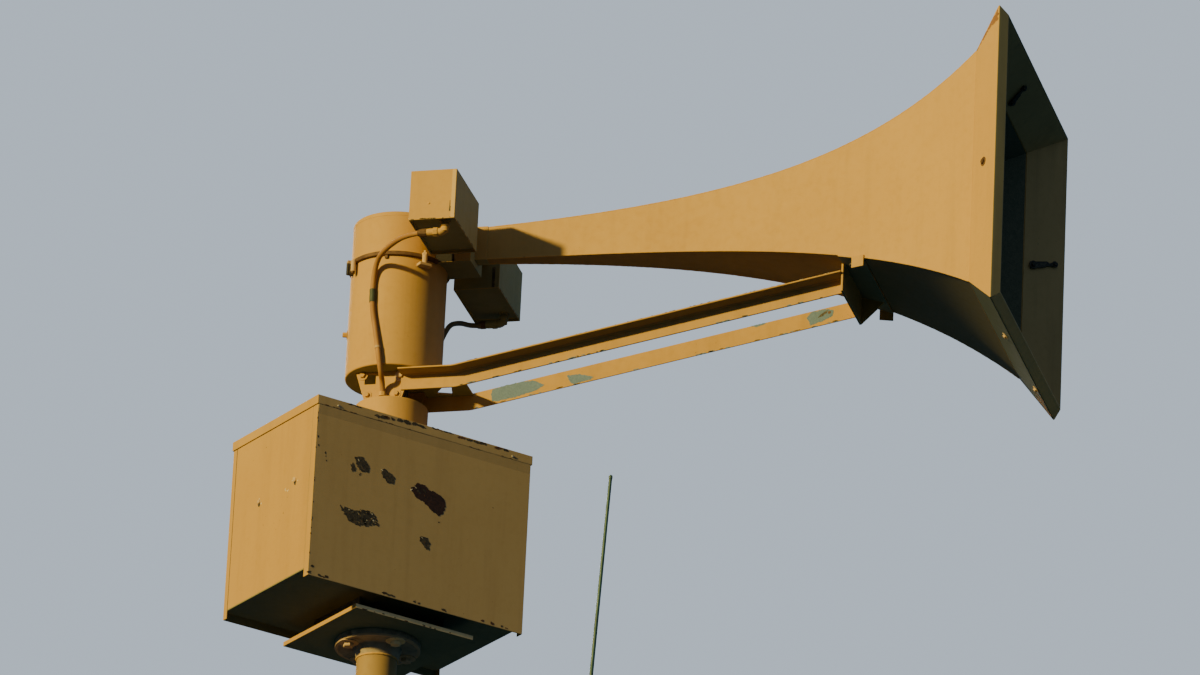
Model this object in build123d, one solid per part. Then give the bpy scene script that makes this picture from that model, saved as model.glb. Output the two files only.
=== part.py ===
"""Rotating-horn warning siren on a stepped steel mast.

Millimetres, +Z up. The origin is the centre of the underside of the mast's base plate.
The horn points along +X. Heights of the drive housing and of the head are written from the
lower edge of the housing and raised by HOUSING_Z.
"""
from build123d import *
import os
from math import atan2, cos, exp, radians, sin, tan

os.makedirs("parts", exist_ok=True)

# Seats and clearances
SEAM = 0.1
RUNNING_FIT = 0.05
TURNING_GAP = 5.0

# Mast
BASE_PLATE = 450.0
BASE_THICKNESS = 30.0
ANCHOR_SPACING = 350.0
ANCHOR_HOLE_RADIUS = 16.5
LOWER_RADIUS = 109.55
LOWER_LENGTH = 5600.0
MIDDLE_RADIUS = 84.15
MIDDLE_LENGTH = 4150.0
UPPER_RADIUS = 57.15
UPPER_LENGTH = 2054.0
TUBE_WALL = 7.1
LOWER_REDUCER = 180.0
UPPER_REDUCER = 140.0
GUSSET_HEIGHT = 180.0
GUSSET_THICKNESS = 12.0
GUSSET_MARGIN = 12.0

# Top flange and mounting plate
HUB_HEIGHT = 30.0
HUB_RADIUS = 68.0
FLANGE_RADIUS = 120.0
FLANGE_THICKNESS = 21.0
FLANGE_BOLT_CIRCLE = 95.0
FLANGE_BOLT_HOLE = 9.5
MOUNT_PLATE = 386.0
MOUNT_PLATE_THICKNESS = 13.0
STANDOFF_GAP = 32.0
STANDOFF_WIDTH = 60.0
STANDOFF_SPREAD = 110.0
STANDOFF_WALL = 5.0
STANDOFF_LENGTH = 240.0

# Drive housing
HOUSING_TURN = 47.3
HOUSING_SHIFT_X = -17.0
HOUSING_SHIFT_Y = 6.0
HOUSING_WIDTH = 706.0
HOUSING_DEPTH = 452.0
HOUSING_HEIGHT = 539.0
HOUSING_SHEET = 3.0
FRONT_RETURN = 25.0
BACK_RETURN = 20.0
DOOR_GAP = 1.0
PAN_RECESS = 23.0
LID_SHEET = 3.0
LID_RIM = 27.0
LID_GAP = 0.3

# Bearing and rotating column
COLUMN_RADIUS = 45.0
COLUMN_WALL = 6.0
COLUMN_DEPTH = 60.0
LID_HOLE_GAP = 6.0
PEDESTAL_RADIUS = 78.0
COLLAR_RADIUS = 104.0
COLLAR_TOP = 664.0
COLLAR_WALL = 5.0

# Neck brackets
NECK_PLATE_FACE = 83.0
NECK_PLATE_THICKNESS = 5.0
NECK_TOP_BACK = -86.0
NECK_TOP_FRONT = 76.0
NECK_FOOT_BACK = -60.0
NECK_FOOT_FRONT = 52.0
NECK_WINDOW_X = -43.0
NECK_WINDOW_WIDTH = 32.0
NECK_WINDOW_SILL = 45.0
NECK_WINDOW_HEIGHT = 30.0

# Rotor housing
ROTOR_RADIUS = 137.0
ROTOR_WALL = 4.0
ROTOR_BOTTOM = 745.0
ROTOR_TOP = 1218.0
ROTOR_BASE_THICKNESS = 12.0
ROTOR_CAP_THICKNESS = 14.0
ROTOR_CAP_ROUND = 6.0
BAND_HEIGHT = 13.0
BAND_THICKNESS = 9.0
BAND_ROUND = 4.0
BAND_Z = 1079.0
POST_OFFSET = 13.0
RIGHT_POST_ANGLE = 314.0
RIGHT_POST_RADIUS = 8.0
RIGHT_POST_DROP = 27.0
RIGHT_POST_RISE = 9.0
RIGHT_EAR_WIDTH = 38.0
RIGHT_EAR_REACH = 22.0
RIGHT_EAR_HEIGHT = 9.0
LEFT_POST_ANGLE = 225.0
LEFT_POST_RADIUS = 7.0
LEFT_POST_DROP = 35.0
LEFT_EAR_ANGLE = 213.5
LEFT_EAR_WIDTH = 10.0
LEFT_EAR_REACH = 18.0
LEFT_EAR_DROP = 27.0

# Valve boxes and throat housing
THROAT_Z = 1154.0
BOX_BACK = 126.0
BOX_FRONT = 260.0
BOX_INNER = 126.0
BOX_REACH = 371.0
BOX_BOTTOM = 1078.0
BOX_TOP = 1229.0
BOX_SHEET = 3.0
BOX_RECESS = 10.0
THROAT_BODY_HALF_WIDTH = 62.0
THROAT_BODY_BOTTOM = 1083.0
THROAT_BODY_TOP = 1205.0
THROAT_BODY_FRONT = 225.0
WING_BOTTOM = 1150.0
WING_BACK = 135.0
THROAT_COLLAR_MARGIN = 2.0

# Horn, an exponential flare with a straight lip and a folded rim
HORN_START = 260.0
KINK_X = 1735.0
MOUTH_X = 1817.0
RIM_X = 1840.0
THROAT_HALF_HEIGHT = 49.5
THROAT_HALF_WIDTH = 18.0
KINK_HALF_HEIGHT = 350.0
KINK_HALF_WIDTH = 348.0
MOUTH_HALF = 443.0
RIM_HALF = 420.0
HEIGHT_FLARE = 475.0
WIDTH_FLARE = 600.0
HORN_SHEET = 3.0
FLARE_STEPS = 12

# Struts, tie plate and horn bracket
STRUT_LEG = 50.0
STRUT_THICKNESS = 5.0
STRUT_BACK = 49.0
STRUT_BEND_X = 207.0
STRUT_FOOT_Z = 685.0
STRUT_END_Z = 906.5
BRACKET_X = 1319.0
BRACKET_THICKNESS = 6.0
BRACKET_DROP = 898.0
BRACKET_HALF_WIDTH = 122.0
BRACKET_LEG = 80.0
BRACKET_GUSSET_REACH = 70.0
LUG_BACK = 1362.0
LUG_THICKNESS = 5.0
LUG_RISE = 8.0
LUG_DROP = 26.0
TIE_BACK = 80.0
TIE_FRONT = 214.0
TIE_THICKNESS = 6.0
TIE_CUTOUT = ((113, 57), (156, 71), (168, 14), (168, -14), (156, -71), (113, -57), (142, -14), (142, 14))

# Conduits, centre lines chosen along the real route
CONDUIT_RADIUS = 7.5
CONNECTOR_RADIUS = 11.0
CONNECTOR_X = 222.0
CONNECTOR_REACH = 57.0
CONNECTOR_Y = 331.0
CONNECTOR_DROP = 23.0
CONNECTOR_GRIP = 17.0
GLAND_RADIUS = 9.5
GLAND_HEIGHT = 18.0
GLAND_EDGE = 1.1
GLAND_X = -2.0

# Antenna on its side arm
ANTENNA_TURN = 13.8
ANTENNA_CLAMP_DROP = 1150.0
ANTENNA_CLAMP_HEIGHT = 60.0
ANTENNA_CLAMP_THICKNESS = 9.0
ANTENNA_ARM = 30.0
ANTENNA_ARM_WALL = 3.0
ANTENNA_REACH = 555.0
ANTENNA_FERRULE_RADIUS = 11.0
ANTENNA_FERRULE_LENGTH = 160.0
FERRULE_SINK = 4.0
ANTENNA_SOCKET_RADIUS = 18.0
ANTENNA_SOCKET_HEIGHT = 46.0
WHIP_RADIUS = 5.0
WHIP_TIP_Z = 495.0
WHIP_LEAN = 2.65

# Heights of the mast, worked out from its pieces
LOWER_TOP = BASE_THICKNESS + LOWER_LENGTH
MIDDLE_BOTTOM = LOWER_TOP + LOWER_REDUCER
MIDDLE_TOP = MIDDLE_BOTTOM + MIDDLE_LENGTH
UPPER_BOTTOM = MIDDLE_TOP + UPPER_REDUCER
UPPER_TOP = UPPER_BOTTOM + UPPER_LENGTH
FLANGE_BOTTOM = UPPER_TOP + HUB_HEIGHT
PLATE_BOTTOM = FLANGE_BOTTOM + FLANGE_THICKNESS
PLATE_TOP = PLATE_BOTTOM + MOUNT_PLATE_THICKNESS
HOUSING_Z = PLATE_TOP + STANDOFF_GAP
LID_TOP = HOUSING_HEIGHT

# Where each gland stands on the collar
GLAND_Y = COLLAR_RADIUS - GLAND_EDGE - GLAND_RADIUS

parts = {}


def block(x0, x1, y0, y1, z0, z1):
    """A plain block between two corners."""
    return Pos((x0 + x1) / 2, (y0 + y1) / 2, (z0 + z1) / 2) * Box(x1 - x0, y1 - y0, z1 - z0)


def rod(radius, z0, z1, x=0.0, y=0.0):
    """An upright solid cylinder."""
    return Pos(x, y, (z0 + z1) / 2) * Cylinder(radius, z1 - z0)


def ring(outer, inner, z0, z1, x=0.0, y=0.0):
    """An upright ring or tube."""
    return rod(outer, z0, z1, x, y) - rod(inner, z0 - 1, z1 + 1, x, y)


def side_prism(points, y0, y1):
    """A prism whose outline is given as X and Z, between two planes of Y."""
    outline = [(x, y0, z) for x, z in points]
    face = Face(Wire.make_polygon([Vector(*p) for p in outline]))
    return extrude(face, amount=y1 - y0, dir=(0, 1, 0))


def plan_prism(points, z0, z1):
    """A prism whose outline is given as X and Y, between two heights."""
    face = Face(Wire.make_polygon([Vector(x, y, z0) for x, y in points]))
    return extrude(face, amount=z1 - z0, dir=(0, 0, 1))


def on_head(shape):
    """Raise a piece that is written from the housing's lower edge."""
    return Pos(0, 0, HOUSING_Z) * shape


def on_housing(shape):
    """Raise a piece of the housing and turn it to the housing's heading."""
    turned = Rot(0, 0, HOUSING_TURN) * (Pos(HOUSING_SHIFT_X, HOUSING_SHIFT_Y, 0) * shape)
    return on_head(turned)


def mirrored(shape):
    """The same piece on the other side of the horn's middle plane."""
    return mirror(shape, about=Plane.XZ)


# Mast

def make_base_plate():
    half = BASE_PLATE / 2
    plate = block(-half, half, -half, half, 0, BASE_THICKNESS)
    for x in (-ANCHOR_SPACING / 2, ANCHOR_SPACING / 2):
        for y in (-ANCHOR_SPACING / 2, ANCHOR_SPACING / 2):
            plate -= rod(ANCHOR_HOLE_RADIUS, -1, BASE_THICKNESS + 1, x, y)
    return plate


def make_gussets():
    reach = BASE_PLATE / 2 - GUSSET_MARGIN
    inner = LOWER_RADIUS + SEAM
    toe = GUSSET_HEIGHT * 0.15
    z0 = BASE_THICKNESS
    outline = [(inner, z0), (reach, z0), (reach, z0 + toe), (inner + toe, z0 + GUSSET_HEIGHT),
               (inner, z0 + GUSSET_HEIGHT)]
    gusset = side_prism(outline, -GUSSET_THICKNESS / 2, GUSSET_THICKNESS / 2)
    return Compound([Rot(0, 0, 90 * i) * gusset for i in range(4)])


def make_reducer(radius0, radius1, z0, z1):
    outline = [(radius0 - TUBE_WALL, z0), (radius0, z0), (radius1, z1), (radius1 - TUBE_WALL, z1)]
    face = Face(Wire.make_polygon([Vector(x, 0, z) for x, z in outline]))
    return revolve(face, Axis.Z)


def make_top_flange():
    hub = [(UPPER_RADIUS - TUBE_WALL, UPPER_TOP), (UPPER_RADIUS, UPPER_TOP),
           (HUB_RADIUS, FLANGE_BOTTOM), (FLANGE_RADIUS, FLANGE_BOTTOM),
           (FLANGE_RADIUS, PLATE_BOTTOM), (UPPER_RADIUS - TUBE_WALL, PLATE_BOTTOM)]
    face = Face(Wire.make_polygon([Vector(x, 0, z) for x, z in hub]))
    flange = revolve(face, Axis.Z)
    for x, y in flange_bolt_places():
        flange -= rod(FLANGE_BOLT_HOLE, FLANGE_BOTTOM - 1, PLATE_BOTTOM + 1, x, y)
    return flange


def flange_bolt_places():
    places = []
    for i in range(4):
        angle = radians(HOUSING_TURN + 90 * i)
        places.append((FLANGE_BOLT_CIRCLE * cos(angle), FLANGE_BOLT_CIRCLE * sin(angle)))
    return places


parts["mast_base_plate"] = make_base_plate()
parts["mast_base_gussets"] = make_gussets()
parts["mast_lower_tube"] = ring(LOWER_RADIUS, LOWER_RADIUS - TUBE_WALL, BASE_THICKNESS, LOWER_TOP)
parts["mast_middle_tube"] = ring(MIDDLE_RADIUS, MIDDLE_RADIUS - TUBE_WALL, MIDDLE_BOTTOM, MIDDLE_TOP)
parts["mast_reducers"] = Compound([
    make_reducer(LOWER_RADIUS, MIDDLE_RADIUS, LOWER_TOP, MIDDLE_BOTTOM),
    make_reducer(MIDDLE_RADIUS, UPPER_RADIUS, MIDDLE_TOP, UPPER_BOTTOM)])
parts["mast_upper_tube"] = ring(UPPER_RADIUS, UPPER_RADIUS - TUBE_WALL, UPPER_BOTTOM, UPPER_TOP)
parts["mast_top_flange"] = make_top_flange()


# Mounting plate, stand-off channels and drive housing

def make_mounting_plate():
    half = MOUNT_PLATE / 2
    plate = block(-half, half, -half, half, PLATE_BOTTOM, PLATE_TOP)
    plate = Rot(0, 0, HOUSING_TURN) * plate
    for x, y in flange_bolt_places():
        plate -= rod(FLANGE_BOLT_HOLE, PLATE_BOTTOM - 1, PLATE_TOP + 1, x, y)
    return plate


def make_standoffs():
    z0 = -STANDOFF_GAP
    z1 = PAN_RECESS
    half = STANDOFF_LENGTH / 2
    channels = []
    for side in (-1, 1):
        x0 = side * STANDOFF_SPREAD - STANDOFF_WIDTH / 2
        x1 = x0 + STANDOFF_WIDTH
        channel = block(x0, x1, -half, half, z0, z1)
        channel -= block(x0 + STANDOFF_WALL, x1 - STANDOFF_WALL, -half - 1, half + 1,
                         z0 + STANDOFF_WALL, z1 + 1)
        channels.append(on_head(Rot(0, 0, HOUSING_TURN) * channel))
    return Compound(channels)


half_w = HOUSING_WIDTH / 2
half_d = HOUSING_DEPTH / 2
sheet = HOUSING_SHEET
wall_top = HOUSING_HEIGHT - LID_SHEET

door_front = -half_d + FRONT_RETURN + DOOR_GAP
door_back = half_d - BACK_RETURN - DOOR_GAP
pan_top = PAN_RECESS + sheet


def make_back_panel():
    """The wide panel on the side of +Y, with a folded return at each end."""
    panel = block(-half_w, half_w, half_d - sheet, half_d, 0, wall_top)
    for x0 in (-half_w, half_w - sheet):
        panel += block(x0, x0 + sheet, half_d - BACK_RETURN, half_d, 0, wall_top)
    return on_housing(panel)


def make_front_panel():
    """The wide panel on the side of -Y, with a folded return at each end."""
    panel = block(-half_w, half_w, -half_d, -half_d + sheet, 0, wall_top)
    for x0 in (-half_w, half_w - sheet):
        panel += block(x0, x0 + sheet, -half_d, -half_d + FRONT_RETURN, 0, wall_top)
    return on_housing(panel)


def make_pan():
    """The bottom pan, whose edge reaches out under each door."""
    pan = block(-half_w + sheet, half_w - sheet, -half_d + sheet, half_d - sheet, PAN_RECESS, pan_top)
    pan += block(-half_w, half_w, door_front, door_back, PAN_RECESS, pan_top)
    return on_housing(pan)


parts["mounting_plate"] = make_mounting_plate()
parts["standoff_channels"] = make_standoffs()
parts["housing_pan"] = make_pan()
parts["housing_front_panel"] = make_front_panel()
parts["housing_back_panel"] = make_back_panel()
parts["housing_left_panel"] = on_housing(block(
    -half_w, -half_w + sheet, door_front, door_back, pan_top, wall_top))
parts["housing_right_panel"] = on_housing(block(
    half_w - sheet, half_w, door_front, door_back, pan_top, wall_top))


def make_lid():
    outer_w = half_w + LID_GAP + LID_SHEET
    outer_d = half_d + LID_GAP + LID_SHEET
    lid = block(-outer_w, outer_w, -outer_d, outer_d, LID_TOP - LID_RIM, LID_TOP)
    lid -= block(-half_w - LID_GAP, half_w + LID_GAP, -half_d - LID_GAP, half_d + LID_GAP,
                 LID_TOP - LID_RIM - 1, wall_top)
    lid = on_housing(lid)
    hole = rod(COLUMN_RADIUS + LID_HOLE_GAP, wall_top - 10, LID_TOP + 10)
    return lid - on_head(hole)


parts["housing_lid"] = make_lid()
parts["bearing_pedestal"] = on_head(ring(
    PEDESTAL_RADIUS, COLUMN_RADIUS + RUNNING_FIT, LID_TOP, COLLAR_TOP - COLLAR_WALL - TURNING_GAP))


# Antenna

def make_antenna():
    z = HOUSING_Z - ANTENNA_CLAMP_DROP
    bore = UPPER_RADIUS + SEAM
    outer = bore + ANTENNA_CLAMP_THICKNESS
    z0 = z - ANTENNA_CLAMP_HEIGHT / 2
    z1 = z + ANTENNA_CLAMP_HEIGHT / 2
    clamp = rod(outer, z0, z1)
    clamp += block(-outer - 24, -bore - 2, -14, 14, z0, z1)
    clamp += block(bore + 2, outer + 14, -26, 26, z0, z1)
    clamp -= rod(bore, z0 - 1, z1 + 1)
    half = ANTENNA_ARM / 2
    arm_start = outer + 14
    arm = block(arm_start, ANTENNA_REACH + ANTENNA_SOCKET_RADIUS, -half, half, z - half, z + half)
    inner = half - ANTENNA_ARM_WALL
    arm -= block(arm_start - 1, ANTENNA_REACH - ANTENNA_SOCKET_RADIUS, -inner, inner,
                 z - inner, z + inner)
    socket_bottom = z + half
    socket_top = socket_bottom + ANTENNA_SOCKET_HEIGHT
    socket = rod(ANTENNA_SOCKET_RADIUS, socket_bottom, socket_top, ANTENNA_REACH)
    ferrule = Pos(0, 0, ANTENNA_FERRULE_LENGTH / 2) * Cylinder(ANTENNA_FERRULE_RADIUS,
                                                              ANTENNA_FERRULE_LENGTH)
    whip_length = (HOUSING_Z + WHIP_TIP_Z - socket_top) / cos(radians(WHIP_LEAN)) - ANTENNA_FERRULE_LENGTH
    whip = Pos(0, 0, ANTENNA_FERRULE_LENGTH + whip_length / 2) * Cylinder(WHIP_RADIUS, whip_length)
    lean = Pos(ANTENNA_REACH, 0, socket_top) * Rot(0, WHIP_LEAN, 0) * Pos(0, 0, -FERRULE_SINK)
    base = socket + lean * ferrule
    turn = Rot(0, 0, ANTENNA_TURN)
    return turn * clamp, turn * arm, turn * base, turn * (lean * whip)


antenna = make_antenna()
parts["antenna_clamp"] = antenna[0]
parts["antenna_arm"] = antenna[1]
parts["antenna_base"] = antenna[2]
parts["antenna_whip"] = antenna[3]


# Rotating column, collar and neck

def make_collar():
    bottom = LID_TOP + TURNING_GAP
    collar = rod(COLLAR_RADIUS, bottom, COLLAR_TOP)
    collar -= rod(COLLAR_RADIUS - COLLAR_WALL, bottom - 1, COLLAR_TOP - COLLAR_WALL)
    collar -= rod(COLUMN_RADIUS, bottom - 1, COLLAR_TOP + 1)
    return on_head(collar)


def make_neck_plate():
    outline = [(NECK_FOOT_BACK, COLLAR_TOP), (NECK_FOOT_FRONT, COLLAR_TOP),
               (NECK_TOP_FRONT, ROTOR_BOTTOM), (NECK_TOP_BACK, ROTOR_BOTTOM)]
    plate = side_prism(outline, -NECK_PLATE_FACE, -NECK_PLATE_FACE + NECK_PLATE_THICKNESS)
    sill = COLLAR_TOP + NECK_WINDOW_SILL
    plate -= block(NECK_WINDOW_X - NECK_WINDOW_WIDTH / 2, NECK_WINDOW_X + NECK_WINDOW_WIDTH / 2,
                   -NECK_PLATE_FACE - 1, -NECK_PLATE_FACE + NECK_PLATE_THICKNESS + 1,
                   sill, sill + NECK_WINDOW_HEIGHT)
    return on_head(plate)


parts["rotating_column"] = on_head(ring(
    COLUMN_RADIUS, COLUMN_RADIUS - COLUMN_WALL, LID_TOP - COLUMN_DEPTH, ROTOR_BOTTOM))
parts["rotator_collar"] = make_collar()
parts["neck_brackets"] = Compound([make_neck_plate(), mirrored(make_neck_plate())])


# Rotor housing, clamp band and throat housing

def make_rotor_housing():
    z1 = ROTOR_TOP - ROTOR_CAP_THICKNESS
    shell = rod(ROTOR_RADIUS, ROTOR_BOTTOM, z1)
    return on_head(shell - rod(ROTOR_RADIUS - ROTOR_WALL, ROTOR_BOTTOM + ROTOR_BASE_THICKNESS, z1 + 1))


def make_rotor_cap():
    z0 = ROTOR_TOP - ROTOR_CAP_THICKNESS
    cap = rod(ROTOR_RADIUS, z0, ROTOR_TOP)
    return on_head(fillet(cap.edges().sort_by(Axis.Z)[-1], ROTOR_CAP_ROUND))


def make_band():
    inner = ROTOR_RADIUS + SEAM
    z0 = BAND_Z
    z1 = BAND_Z + BAND_HEIGHT
    post = ROTOR_RADIUS + POST_OFFSET
    band = rod(inner + BAND_THICKNESS, z0, z1)
    band = fillet(band.edges().filter_by(GeomType.CIRCLE), BAND_ROUND)
    right = rod(RIGHT_POST_RADIUS, z0 - RIGHT_POST_DROP, z1 + RIGHT_POST_RISE, post)
    ear_foot = z0 - RIGHT_POST_DROP
    right += block(inner, inner + RIGHT_EAR_REACH, -RIGHT_EAR_WIDTH / 2, RIGHT_EAR_WIDTH / 2,
                   ear_foot, ear_foot + RIGHT_EAR_HEIGHT)
    left = rod(LEFT_POST_RADIUS, z0 - LEFT_POST_DROP, (z0 + z1) / 2, post)
    ear = block(inner, inner + LEFT_EAR_REACH, -LEFT_EAR_WIDTH / 2, LEFT_EAR_WIDTH / 2,
                z0 - LEFT_EAR_DROP, z1)
    band += Rot(0, 0, RIGHT_POST_ANGLE) * right
    band += Rot(0, 0, LEFT_POST_ANGLE) * left
    band += Rot(0, 0, LEFT_EAR_ANGLE) * ear
    band -= rod(inner, z0 - 60, z1 + 60)
    half = THROAT_BODY_HALF_WIDTH + SEAM
    front = block(0, ROTOR_RADIUS * 2, -half, half, z0 - 60, z1 + 60)
    return on_head(band - front)


def make_throat_housing():
    """The body in front of the rotor, with a wing out to each box and a neck for the horn."""
    half = THROAT_BODY_HALF_WIDTH
    body = block(0, THROAT_BODY_FRONT, -half, half, THROAT_BODY_BOTTOM, THROAT_BODY_TOP)
    body += block(WING_BACK, THROAT_BODY_FRONT, -BOX_INNER, BOX_INNER, WING_BOTTOM, THROAT_BODY_TOP)
    body -= rod(ROTOR_RADIUS + SEAM, THROAT_BODY_BOTTOM - 1, THROAT_BODY_TOP + 1)
    half_y = THROAT_HALF_WIDTH + THROAT_COLLAR_MARGIN
    half_z = THROAT_HALF_HEIGHT + THROAT_COLLAR_MARGIN
    body += block(THROAT_BODY_FRONT - 1, HORN_START, -half_y, half_y,
                  THROAT_Z - half_z, THROAT_Z + half_z)
    return on_head(body)


parts["rotor_housing"] = make_rotor_housing()
parts["rotor_housing_cap"] = make_rotor_cap()
parts["clamp_band"] = make_band()
parts["throat_housing"] = make_throat_housing()


# Valve boxes

def make_valve_box():
    """The box on the near side; its underside is set up inside the folded walls."""
    box = block(BOX_BACK, BOX_FRONT, -BOX_REACH, -BOX_INNER, BOX_BOTTOM, BOX_TOP)
    box -= block(BOX_BACK + BOX_SHEET, BOX_FRONT - BOX_SHEET, -BOX_REACH + BOX_SHEET,
                 -BOX_INNER - BOX_SHEET, BOX_BOTTOM - 1, BOX_BOTTOM + BOX_RECESS)
    return on_head(box)


parts["near_valve_box"] = make_valve_box()
parts["far_valve_box"] = mirrored(make_valve_box())


# Horn

def flare(x, throat, kink, constant):
    """Half size of the exponential flare at x."""
    share = (exp((x - HORN_START) / constant) - 1) / (exp((KINK_X - HORN_START) / constant) - 1)
    return throat + (kink - throat) * share


def half_height(x):
    return flare(x, THROAT_HALF_HEIGHT, KINK_HALF_HEIGHT, HEIGHT_FLARE)


def half_width(x):
    return flare(x, THROAT_HALF_WIDTH, KINK_HALF_WIDTH, WIDTH_FLARE)


def flare_stations():
    step = (KINK_X - HORN_START) / FLARE_STEPS
    return [HORN_START + step * i for i in range(FLARE_STEPS + 1)]


def flare_strip(half_size, inset, thickness):
    """The face between the flare's curve, set in by inset, and the same curve further in."""
    outer = [(x, half_size(x) - inset) for x in flare_stations()]
    inner = [(x, v - thickness) for x, v in outer]
    edges = Spline(*outer) + Line(outer[-1], inner[-1]) + Spline(*inner) + Line(inner[0], outer[0])
    return make_face(edges)


def flare_field(half_size, inset):
    """The whole face inside the flare's curve, both sides of its axis."""
    upper = [(x, half_size(x) - inset) for x in flare_stations()]
    lower = [(x, -v) for x, v in upper]
    edges = Spline(*upper) + Line(upper[-1], lower[-1]) + Spline(*lower) + Line(lower[0], upper[0])
    return make_face(edges)


def straight_strip(x0, v0, x1, v1, thickness):
    """A straight strip of sheet from one station to the next."""
    return make_face(Polyline((x0, v0), (x1, v1), (x1, v1 - thickness), (x0, v0 - thickness),
                              (x0, v0)))


def straight_field(x0, v0, x1, v1, inset):
    return make_face(Polyline((x0, v0 - inset), (x1, v1 - inset), (x1, inset - v1),
                              (x0, inset - v0), (x0, v0 - inset)))


def upright(face, reach):
    """A face drawn in X and Y, made a prism both ways along Z."""
    return extrude(face, amount=reach, both=True)


def sideways(face, reach):
    """A face drawn in X and Z, made a prism both ways along Y."""
    return Rot(90, 0, 0) * extrude(face, amount=reach, both=True)


def horn_set(side_face, side_field, lid_face, lid_field):
    """Far and top panels from their faces, with the near and bottom ones mirrored."""
    reach = MOUTH_HALF + 10
    far = upright(side_face, reach) & sideways(side_field, reach)
    top = sideways(lid_face, reach) & upright(lid_field, reach)
    near = mirror(far, about=Plane.XZ)
    bottom = mirror(top, about=Plane.XY)
    raise_by = Pos(0, 0, HOUSING_Z + THROAT_Z)
    return raise_by * near, raise_by * far, raise_by * top, raise_by * bottom


panels = horn_set(
    flare_strip(half_width, 0, HORN_SHEET),
    flare_field(half_height, 0),
    flare_strip(half_height, 0, HORN_SHEET),
    flare_field(half_width, HORN_SHEET + SEAM))
parts["horn_near_panel"] = panels[0]
parts["horn_far_panel"] = panels[1]
parts["horn_top_panel"] = panels[2]
parts["horn_bottom_panel"] = panels[3]

lip_slope = atan2(MOUTH_HALF - KINK_HALF_WIDTH, MOUTH_X - KINK_X)
lip_sheet = HORN_SHEET / cos(lip_slope)
lips = horn_set(
    straight_strip(KINK_X, KINK_HALF_WIDTH, MOUTH_X, MOUTH_HALF, lip_sheet),
    straight_field(KINK_X, KINK_HALF_HEIGHT, MOUTH_X, MOUTH_HALF, 0),
    straight_strip(KINK_X, KINK_HALF_HEIGHT, MOUTH_X, MOUTH_HALF, lip_sheet),
    straight_field(KINK_X, KINK_HALF_WIDTH, MOUTH_X, MOUTH_HALF, lip_sheet + SEAM))
rims = horn_set(
    straight_strip(MOUTH_X, MOUTH_HALF, RIM_X, RIM_HALF, lip_sheet),
    straight_field(MOUTH_X, MOUTH_HALF, RIM_X, RIM_HALF, 0),
    straight_strip(MOUTH_X, MOUTH_HALF, RIM_X, RIM_HALF, lip_sheet),
    straight_field(MOUTH_X, MOUTH_HALF, RIM_X, RIM_HALF, lip_sheet + SEAM))
for side, lip, rim in zip(("near", "far", "top", "bottom"), lips, rims):
    parts[f"{side}_mouth_lip"] = lip + rim


# Struts, tie plate and horn bracket

def make_strut():
    foot = [(STRUT_BACK, STRUT_FOOT_Z), (STRUT_BEND_X, STRUT_FOOT_Z), (BRACKET_X, STRUT_END_Z)]
    crown = [(x, z + STRUT_LEG) for x, z in foot]
    shelf = [(x, z - STRUT_THICKNESS) for x, z in crown]
    y0 = -NECK_PLATE_FACE - STRUT_THICKNESS
    upright_leg = side_prism(foot + crown[::-1], y0, -NECK_PLATE_FACE)
    flat_leg = side_prism(shelf + crown[::-1], y0 - STRUT_LEG + STRUT_THICKNESS, -NECK_PLATE_FACE)
    return on_head(upright_leg + flat_leg)


def make_tie_plate():
    z0 = STRUT_FOOT_Z + STRUT_LEG - TIE_THICKNESS
    plate = block(TIE_BACK, TIE_FRONT, -NECK_PLATE_FACE, NECK_PLATE_FACE, z0, z0 + TIE_THICKNESS)
    return on_head(plate - plan_prism(TIE_CUTOUT, z0 - 1, z0 + TIE_THICKNESS + 1))


def make_horn_bracket():
    front = BRACKET_X + BRACKET_LEG
    z_back = THROAT_Z - half_height(BRACKET_X) - SEAM
    z_front = THROAT_Z - half_height(front) - SEAM
    w_back = half_width(LUG_BACK) + SEAM
    w_front = half_width(front) + SEAM
    slope = (w_front - w_back) / (front - LUG_BACK)
    w_start = w_back - slope * (LUG_BACK - BRACKET_X)
    t = BRACKET_THICKNESS
    fall = (z_back - z_front) / BRACKET_LEG
    drop = block(BRACKET_X, BRACKET_X + t, -BRACKET_HALF_WIDTH, BRACKET_HALF_WIDTH,
                 BRACKET_DROP, z_back - fall * t)
    leg = side_prism([(BRACKET_X, z_back), (front, z_front), (front, z_front - t),
                      (BRACKET_X, z_back - t)], -400, 400)
    out = LUG_THICKNESS
    plan = [(BRACKET_X, -w_start - out), (front, -w_front - out),
            (front, w_front + out), (BRACKET_X, w_start + out)]
    leg = leg & plan_prism(plan, z_front - 50, z_back + 50)
    lug_plan = [(LUG_BACK, w_back), (front, w_front), (front, w_front + out), (LUG_BACK, w_back + out)]
    far_lug = plan_prism(lug_plan, z_front - LUG_DROP, z_front + LUG_RISE)
    root = BRACKET_X + t
    tip = BRACKET_X + BRACKET_GUSSET_REACH
    gusset = side_prism([(root, BRACKET_DROP), (tip, z_back - fall * (tip - BRACKET_X) - t),
                         (root, z_back - fall * t - t)], BRACKET_HALF_WIDTH - t, BRACKET_HALF_WIDTH)
    return on_head(drop + leg + gusset + far_lug + mirrored(far_lug))


parts["near_strut"] = make_strut()
parts["far_strut"] = mirrored(make_strut())
parts["strut_tie_plate"] = make_tie_plate()
parts["horn_bracket"] = make_horn_bracket()


# Conduits

def corner_radii(points):
    """For each corner, the largest arc that its two runs leave room for."""
    radii = []
    for before, point, after in zip(points, points[1:], points[2:]):
        run_in = Vector(*point) - Vector(*before)
        run_out = Vector(*after) - Vector(*point)
        half_turn = radians(run_in.get_angle(run_out)) / 2
        radii.append(0.45 * min(run_in.length, run_out.length) / tan(half_turn))
    return radii


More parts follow.
